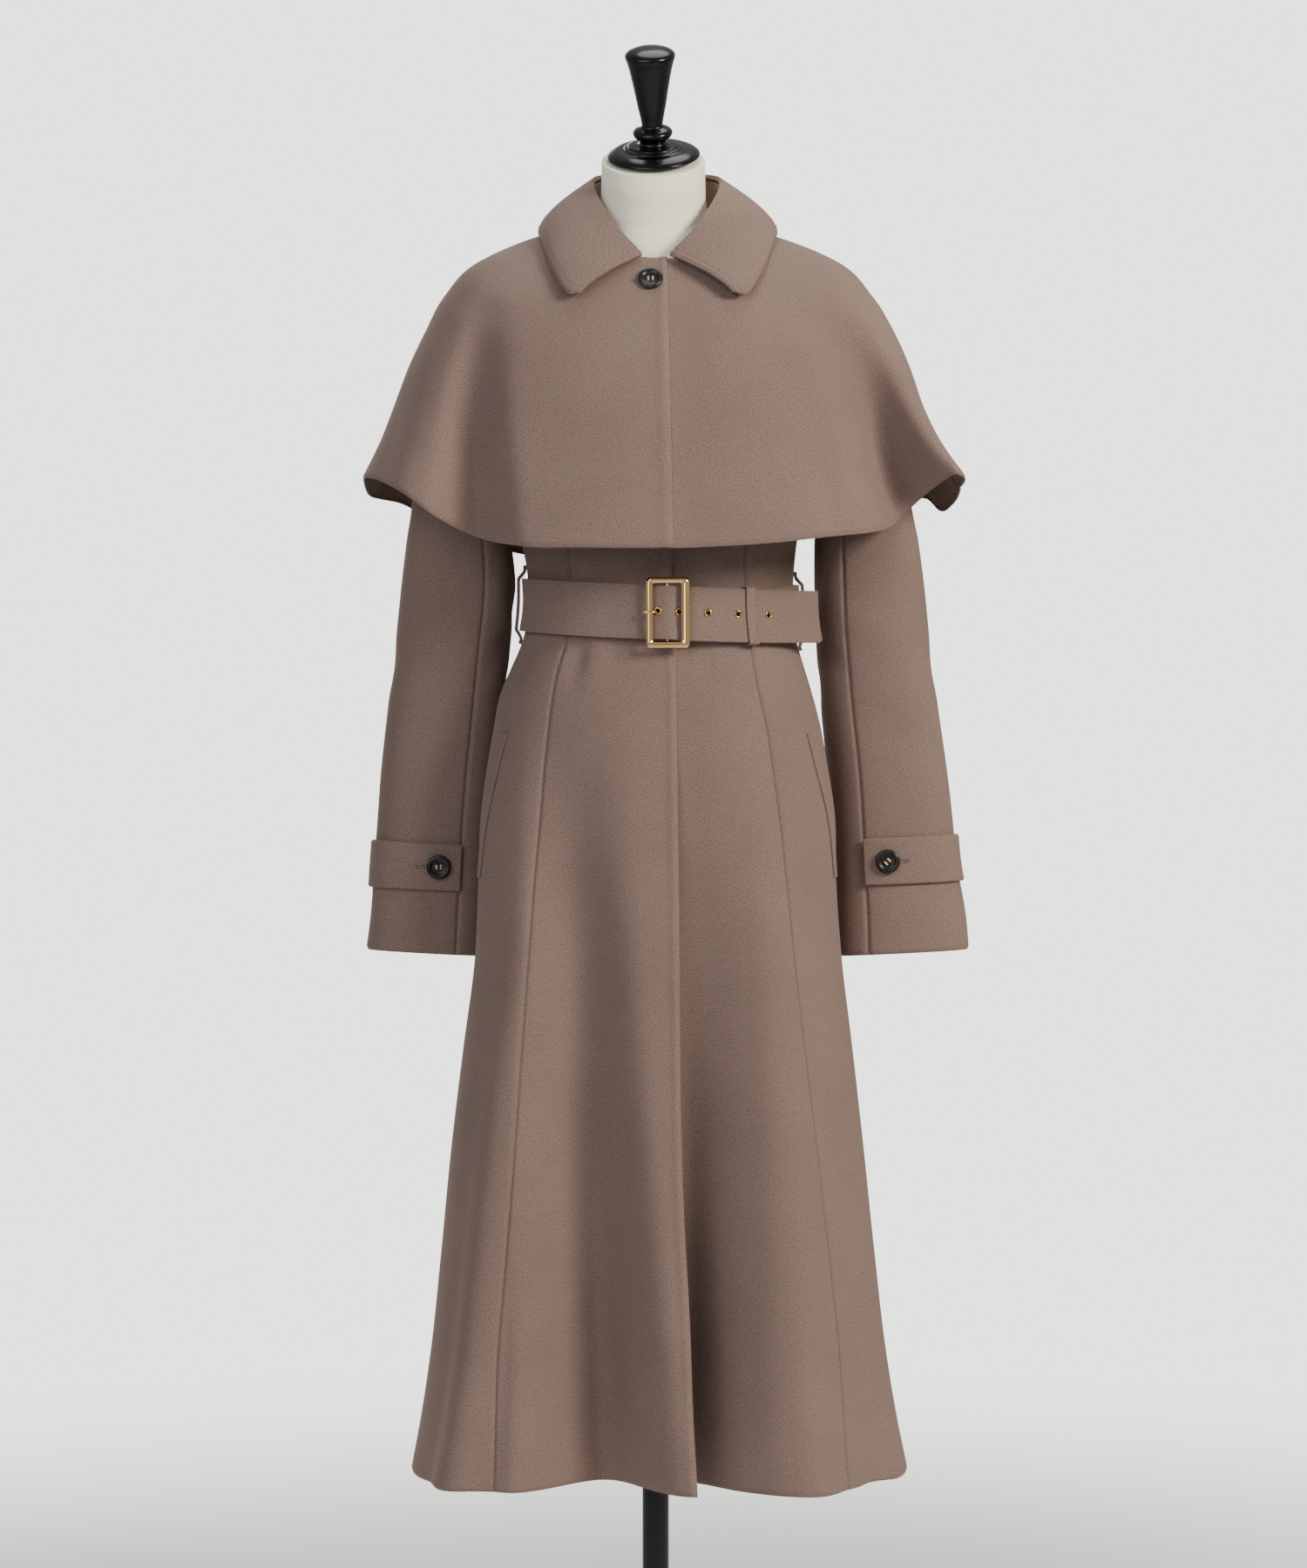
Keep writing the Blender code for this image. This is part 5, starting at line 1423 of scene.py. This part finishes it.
def tube_bmesh(route, radii, sides=16):
    """A round bar along a route, closed at both ends."""
    bm = bmesh.new()
    route = [Vector(p) for p in route]
    loops = []
    for k, here in enumerate(route):
        way = (route[min(k + 1, len(route) - 1)] - route[max(k - 1, 0)]).normalized()
        turn = way.to_track_quat("Z", "Y").to_matrix().to_4x4()
        ring = bmesh.ops.create_circle(bm, cap_ends=False, segments=sides, radius=radii[k],
                                       matrix=Matrix.Translation(here) @ turn)["verts"]
        loops.append(ring)
    for here, there in zip(loops, loops[1:]):
        edges = [e for loop in (here, there) for v in loop for e in v.link_edges
                 if e.other_vert(v) in loop]
        bmesh.ops.bridge_loops(bm, edges=list(dict.fromkeys(edges)))
    for loop in (loops[0], loops[-1]):
        bmesh.ops.contextual_create(bm, geom=loop)
    bmesh.ops.recalc_face_normals(bm, faces=bm.faces)
    return bm


def make_buckle():
    seat = belt_frame(360 + BUCKLE_MID, 0.0) @ turned_by(BUCKLE_TILT)
    make_buckle_frame(seat @ Matrix.Translation((0, 0, BUCKLE_LIFT)))
    prong = smooth_route(np.array(PRONG_ROUTE) * MM, 36)
    share = steps(len(prong) - 1)
    radii = PRONG_RADIUS * (0.95 - PRONG_SWELL * np.cos(2 * np.pi * share)) * np.sqrt(
        np.clip(share / PRONG_TIP, 0.15, 1))
    length = BUCKLE_HEIGHT / 2 - CENTRE_BAR_SHORT
    behind = -BELT_THICK - CENTRE_BAR - CENTRE_BAR_GAP
    bar = [(0, up, behind) for up in (-length, 0, length)]
    for node, bm in (("buckle_prong", tube_bmesh(prong, radii)),
                     ("buckle_centre_bar", tube_bmesh(bar, [CENTRE_BAR] * len(bar)))):
        bmesh.ops.transform(bm, matrix=seat, verts=bm.verts)
        declare(finish_piece(node + "_plated", bm, gold_plate), "gold_metal", node)


def turned(profile, place, sides=48):
    """A turned shape: a profile of radii and heights spun round local Z."""
    bm = bmesh.new()
    verts = [bm.verts.new((radius, 0, height)) for radius, height in profile]
    edges = [bm.edges.new(pair) for pair in zip(verts, verts[1:])]
    bmesh.ops.spin(bm, geom=verts + edges, axis=(0, 0, 1), cent=(0, 0, 0), angle=2 * math.pi,
                   steps=sides, use_merge=True)
    bmesh.ops.remove_doubles(bm, verts=bm.verts, dist=0.002 * MM)
    bmesh.ops.recalc_face_normals(bm, faces=bm.faces)
    bmesh.ops.transform(bm, matrix=place, verts=bm.verts)
    return bm


def make_eyelets():
    """Rolled brass rings set in the belt, each with its barrel through the cloth."""
    out, up, wide, tall = EYELET_ROLL
    roll = [(out + wide * math.cos(a), up + tall * math.sin(a))
            for a in np.radians(np.linspace(-25, 180, 12))]
    profile = [(radius * MM, height * MM) for radius, height in (*roll, *EYELET_BARREL, roll[0])]
    for k, degrees in enumerate(EYELETS):
        bm = turned(profile, belt_frame(degrees, 0.0, EYELET_RISE), 40)
        name = "eyelet_%d" % (k + 1)
        declare(finish_piece(name + "_plated", bm, brass_plate), "gold_metal", name)


# ---- buttons and buttonholes ----------------------------------------------------------------
BUTTON_EYE = 2.1 * MM        # from the button's middle to each of its four eyes, along both ways
BUTTON_EYE_RADIUS = 1.05 * MM
EYE_DRILL_DEPTH = 12 * MM
THREAD_RADIUS = 0.33 * MM
STRAND_PITCH = 1.7 * THREAD_RADIUS
# A strand's route from eye to eye: how far across in eye distances, and its height in mm.
STRAND_ROUTE = ((-1.05, .9), (-0.95, 2.0), (-0.6, 2.75), (0, 2.95), (0.6, 2.75), (0.95, 2.0),
                (1.05, .9))
STRAND_POINTS = 18
OUTER_STRAND_DROP = 0.1      # mm, in the middle of the two outer strands
# The button's turned profile in mm: a dished middle inside a rounded rim.
BUTTON_PROFILE = (
    (0, 2.1), (3.0, 2.12), (5.4, 2.25), (6.6, 2.5), (7.3, 3.05), (8.0, 3.5), (8.9, 3.7),
    (9.9, 3.62), (10.8, 3.2), (11.35, 2.6), (11.5, 2.0), (11.2, 1.2), (10.0, .45), (6.0, .05),
    (0, 0),
)


def make_button(word, place, turn):
    place = place @ turned_by(turn)
    profile = smooth_route(np.array(BUTTON_PROFILE) * MM, 40)
    profile[0, 0] = profile[-1, 0] = 0.0
    button = finish_piece("button_" + word + "_horn", turned(profile, Matrix(), 56), horn, 60)
    drills = bmesh.new()
    for x in (-1, 1):
        for y in (-1, 1):
            add_plug(drills, BUTTON_EYE_RADIUS, EYE_DRILL_DEPTH, 16,
                     Matrix.Translation((x * BUTTON_EYE, y * BUTTON_EYE, 0)))
    cut_out(button, drills, 40)
    button.data.transform(place)
    declare(button, "horn", "button_" + word)
    make_button_thread(word, place)


def make_button_thread(word, place):
    """Two pairs of eyes, each joined by three strands that sink into them."""
    strands = bmesh.new()
    for x in (-1, 1):
        for strand in (-1, 0, 1):
            shift = x * BUTTON_EYE + strand * STRAND_PITCH
            route = [(shift, y * BUTTON_EYE, h * MM) for y, h in STRAND_ROUTE]
            middle = len(route) // 2
            lower = OUTER_STRAND_DROP * MM * abs(strand)
            route[middle] = (shift, 0, route[middle][2] - lower)
            tube = tube_bmesh(smooth_route(route, STRAND_POINTS),
                              [THREAD_RADIUS] * STRAND_POINTS, 8)
            joined = bpy.data.meshes.new("strand")
            tube.to_mesh(joined)
            tube.free()
            strands.from_mesh(joined)
            bpy.data.meshes.remove(joined)
    bmesh.ops.transform(strands, matrix=place, verts=strands.verts)
    declare(finish_piece("button_" + word + "_thread", strands, button_thread), "linen")


HOLE_STITCH_PITCH = 0.55 * MM
HOLE_STITCH_LENGTH = 1.5 * MM


def make_buttonhole(word, place, length, width):
    """A worked buttonhole: stitches set side by side round a slit."""
    straight, radius = (length - width) / 2, width / 2
    stitches = []
    for x in np.arange(-straight, straight, HOLE_STITCH_PITCH):
        stitches.extend(((x, radius, 90), (x, -radius, 90)))
    for angle in np.arange(-90, 90, math.degrees(HOLE_STITCH_PITCH / radius)):
        x = straight + radius * math.cos(math.radians(angle))
        y = radius * math.sin(math.radians(angle))
        stitches.extend(((x, y, angle), (-x, y, 180 - angle)))
    bm = bmesh.new()
    for x, y, angle in stitches:
        add_grain(bm, HOLE_STITCH_LENGTH, STITCH_WIDTH,
                  place @ Matrix.Translation((x, y, 0)) @ turned_by(angle))
    declare(finish_piece("buttonhole_" + word, bm, seam_thread), "wool_cloth")


COLLAR_BUTTON_HEIGHT = 1.4048
COLLAR_BUTTON_X = -4.8 * MM
COLLAR_BUTTON_TURN = 8       # degrees that the button is turned on its thread
COLLAR_HOLE = ((-11.5 * MM, -1 * MM, -0.5 * MM), 11 * MM, 2.2 * MM)    # place, length, width
CUFF_HOLE_SIZE = (13 * MM, 2.4 * MM)
CUFF_HOLE_SUNK = 1.0 * MM
# Each cuff button's turn in degrees, and where its buttonhole's middle lies.
CUFF_BUTTONS = {"right": (4, -16 * MM), "left": (45, 14 * MM)}


def make_buttons():
    angle = float(angle_of_x(cape_surface, COLLAR_BUTTON_X, np.array([COLLAR_BUTTON_HEIGHT]))[0])
    place = frame_on(cape_surface, angle, COLLAR_BUTTON_HEIGHT, LAY_GAP, 1.0, 0.004)
    make_button("collar", place, COLLAR_BUTTON_TURN)
    hole, *size = COLLAR_HOLE
    make_buttonhole("collar", place @ Matrix.Translation(hole), *size)
    for side, word in SIDES:
        level = sum(STRAP_LEVELS) / 2 + (STRAP_LEFT_SHIFT if side > 0 else 0)
        out = LAY_GAP * 2 + STRAP_THICK
        place = frame_on(sleeve_surface(side), CUFF_BUTTON, level, out, 1.0, LEVEL_STEP, -side)
        turn, along = CUFF_BUTTONS[word]
        make_button("cuff_" + word, place, turn)
        hole = Matrix.Translation((along, 0, -CUFF_HOLE_SUNK))
        make_buttonhole("cuff_" + word, place @ hole, *CUFF_HOLE_SIZE)


# ---- dress form and stand -------------------------------------------------------------------
FORM_SIDES = 96
FORM_ROWS = 150
FORM_RIM = 1.2 * MM      # rounding of its two ends
CAP_LIFT = 2.2 * MM      # the cap's underside over its seat
POLE_EASE = 0.6 * MM     # its ends are eased this much
POLE_RADIUS = 12.5 * MM
BASE_RADIUS = 180 * MM
BASE_THICK = 12 * MM
HUB_RADIUS = 30 * MM
HUB_HEIGHT = 18 * MM
# Base and hub in mm from their own radius and height: the hub's rounded top and foot, the
# rounding of the base's upper edge, and its lower edge.
HUB_TOP = ((-6, 0), (-2, -0.8), (0, -2.4))
HUB_FOOT = ((2, 1.4), (5, 0.6))
BASE_ROUNDING = (6 * MM, 5 * MM)     # outwards and down
BASE_DISH = 3 * MM                   # how far the rim's rounding begins below the base's top


def make_form():
    """Torso that fills the coat with room to spare, with its neck, as one closed loft."""
    angles = np.linspace(0, 360, FORM_SIDES + 1)
    rings = []
    for height, shrink in FORM_RINGS:
        ring = ring_point(body_table.at(np.full(angles.shape, height)), angles)
        rings.append(pushed(ring, np.full(angles.shape, -FORM_CLEARANCE - shrink)))
    s, c = np.sin(np.radians(angles)), np.cos(np.radians(angles))
    for y_mid, z_mid, half_width, half_depth, lean in NECK:
        lean = math.radians(lean)
        rings.append(points(CAP_SEAT.x + half_width * s, y_mid - half_depth * math.cos(lean) * c,
                            z_mid - half_depth * math.sin(lean) * c))
    bm = sheet_bmesh(smooth_route(rings, FORM_ROWS))
    bmesh.ops.remove_doubles(bm, verts=bm.verts, dist=0.01 * MM)
    bmesh.ops.holes_fill(bm, edges=[e for e in bm.edges if e.is_boundary])
    form = rounded(finish_piece("form_torso_linen", bm, linen, SHARP_EDGE), FORM_RIM, 3)
    declare(form, "linen", "form_torso")


def lacquered(node, profile, place, sides):
    """A turned and lacquered part of the stand."""
    piece = finish_piece(node + "_lacquer", turned(profile, place, sides), lacquer, 35)
    declare(piece, "black_lacquer", node)


def make_stand():
    seat = (Matrix.Translation(CAP_SEAT) @ turned_by(CAP_SIDE_LEAN, "Y")
            @ turned_by(CAP_LEAN, "X") @ Matrix.Translation((0, 0, CAP_LIFT)))
    profile = smooth_route(CAP_PROFILE[:-1], 170)
    profile[0, 0] = 0.0
    lacquered("neck_cap", [tuple(p) for p in profile] + [CAP_PROFILE[-1]], seat, 96)
    low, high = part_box("pole")
    profile = ((0, high.z), (POLE_RADIUS - POLE_EASE, high.z), (POLE_RADIUS, high.z - POLE_EASE),
               (POLE_RADIUS, low.z + POLE_EASE), (POLE_RADIUS - POLE_EASE, low.z), (0, low.z))
    lacquered("pole", profile, Matrix(), 64)
    wide, deep = BASE_ROUNDING
    rounding = [(BASE_RADIUS - wide + wide * math.sin(a),
                 BASE_THICK - BASE_DISH - deep + deep * math.cos(a))
                for a in np.linspace(0, math.pi / 2, 10)]
    profile = [(0, HUB_HEIGHT)]
    profile += [(HUB_RADIUS + x * MM, HUB_HEIGHT + z * MM) for x, z in HUB_TOP]
    profile += [(HUB_RADIUS + x * MM, BASE_THICK + z * MM) for x, z in HUB_FOOT]
    profile += [*rounding, (BASE_RADIUS, 1 * MM), (BASE_RADIUS - 1 * MM, 0), (0, 0)]
    lacquered("base", profile, Matrix(), 128)


# ---- camera, floor and light ----------------------------------------------------------------
CAMERA_DISTANCE = 3.6
CAMERA_HEIGHT = 0.891
CAMERA_X = -2.05 * MM
SENSOR = 36.0            # mm on the picture's long side
LENS = 87.8
FLOOR_RADIUS = 2.4
FLOOR_SOLID = 0.55       # the floor is fully there out to here, and fades away beyond
PALE = "#E4E4E2"
PALE_STRENGTH = 3.4      # what the camera sees behind the coat
LIT_STRENGTH = 0.26      # what the surroundings light the coat with ...
SHINE_STRENGTH = 0.2     # ... and how much more shows in shiny things
CHEST = (0, 0, 0.95)
LIGHTS = (
    # name, place, what it points at, size, watts, colour
    ("key", (2.6, -2.1, 2.45), (0, 0, 1.3), 1.3, 158, "#FFF8F0"),
    ("fill", (-1.5, -3.1, 2.1), (0, 0, 1.2), 2.8, 66, "#F3F5FF"),
    ("top", (0.2, 0.2, 3.4), CHEST, 1.6, 28, "#FFFFFF"),
    ("back", (-1.0, 3.0, 2.2), CHEST, 2.2, 52, "#FFFFFF"),
)


def aim(thing, target):
    way = Vector(target) - thing.location
    thing.rotation_euler = way.to_track_quat("-Z", "Y").to_euler()


def make_camera():
    data = bpy.data.cameras.new("camera")
    data.lens = LENS
    data.sensor_width = SENSOR
    camera = bpy.data.objects.new("camera", data)
    scene.collection.objects.link(camera)
    camera.location = (CAMERA_X, -CAMERA_DISTANCE, CAMERA_HEIGHT)
    camera.rotation_euler = (math.radians(90), 0, 0)
    scene.camera = camera


def make_floor():
    """A pale sheet of paper under the stand that fades into the pale surroundings."""
    material, tree, shader = new_material("pale_floor_paper", {"Roughness": 0.9,
                                                              "Specular IOR Level": 0.1})
    place = own_place(tree)
    away = add_node(tree, "ShaderNodeVectorMath", {"operation": "LENGTH"})
    tree.links.new(place, away.inputs[0])
    there = add_node(tree, "ShaderNodeMapRange", {"interpolation_type": "SMOOTHSTEP"},
                     {"From Min": FLOOR_SOLID, "From Max": FLOOR_RADIUS * 0.95, "To Min": 1.0,
                      "To Max": 0.0}, Value=away.outputs["Value"])
    grain = ramp(tree, noise(tree, 6 * MM, place), ((0.3, "#E2E2E0"), (0.7, "#E6E6E4")))
    link_in(tree, shader, Base_Color=grain, Alpha=there.outputs["Result"])
    bm = bmesh.new()
    bmesh.ops.create_circle(bm, cap_ends=True, segments=96, radius=FLOOR_RADIUS)
    finish_piece("floor", bm, material)


def add_light(name, place, target, size, watts, hex_code):
    data = bpy.data.lights.new(name, "AREA")
    data.shape = "DISK"
    data.size = size
    data.energy = watts
    data.color = linear(hex_code)[:3]
    light = bpy.data.objects.new(name, data)
    scene.collection.objects.link(light)
    light.location = place
    aim(light, target)


def make_world():
    """Pale surroundings: what the camera sees is brighter than what lights the coat."""
    world = bpy.data.worlds.new("pale_surroundings")
    world.use_nodes = True
    tree = world.node_tree
    seen = tree.nodes["Background"]
    seen.inputs["Color"].default_value = linear(PALE)
    seen.inputs["Strength"].default_value = PALE_STRENGTH
    path = add_node(tree, "ShaderNodeLightPath")
    shine = add_node(tree, "ShaderNodeMath", {"operation": "MULTIPLY_ADD"},
                     {1: SHINE_STRENGTH, 2: LIT_STRENGTH})
    tree.links.new(path.outputs["Is Glossy Ray"], shine.inputs[0])
    lighting = add_node(tree, "ShaderNodeBackground", {}, {"Color": linear("#EDEFF2")},
                        Strength=shine.outputs["Value"])
    mixed = add_node(tree, "ShaderNodeMixShader", Fac=path.outputs["Is Camera Ray"])
    tree.links.new(lighting.outputs["Background"], mixed.inputs[1])
    tree.links.new(seen.outputs["Background"], mixed.inputs[2])
    tree.links.new(mixed.outputs["Shader"], tree.nodes["World Output"].inputs["Surface"])
    scene.world = world


def make_lights():
    for light in LIGHTS:
        add_light(*light)


# ---- everything -----------------------------------------------------------------------------
make_camera()
make_floor()
make_world()
make_lights()
make_body()
make_cape()
make_sleeves()
make_collar()
make_welts()
make_cuff_straps()
make_belt()
make_keeper()
make_belt_loops()
make_buckle()
make_eyelets()
make_buttons()
make_form()
make_stand()
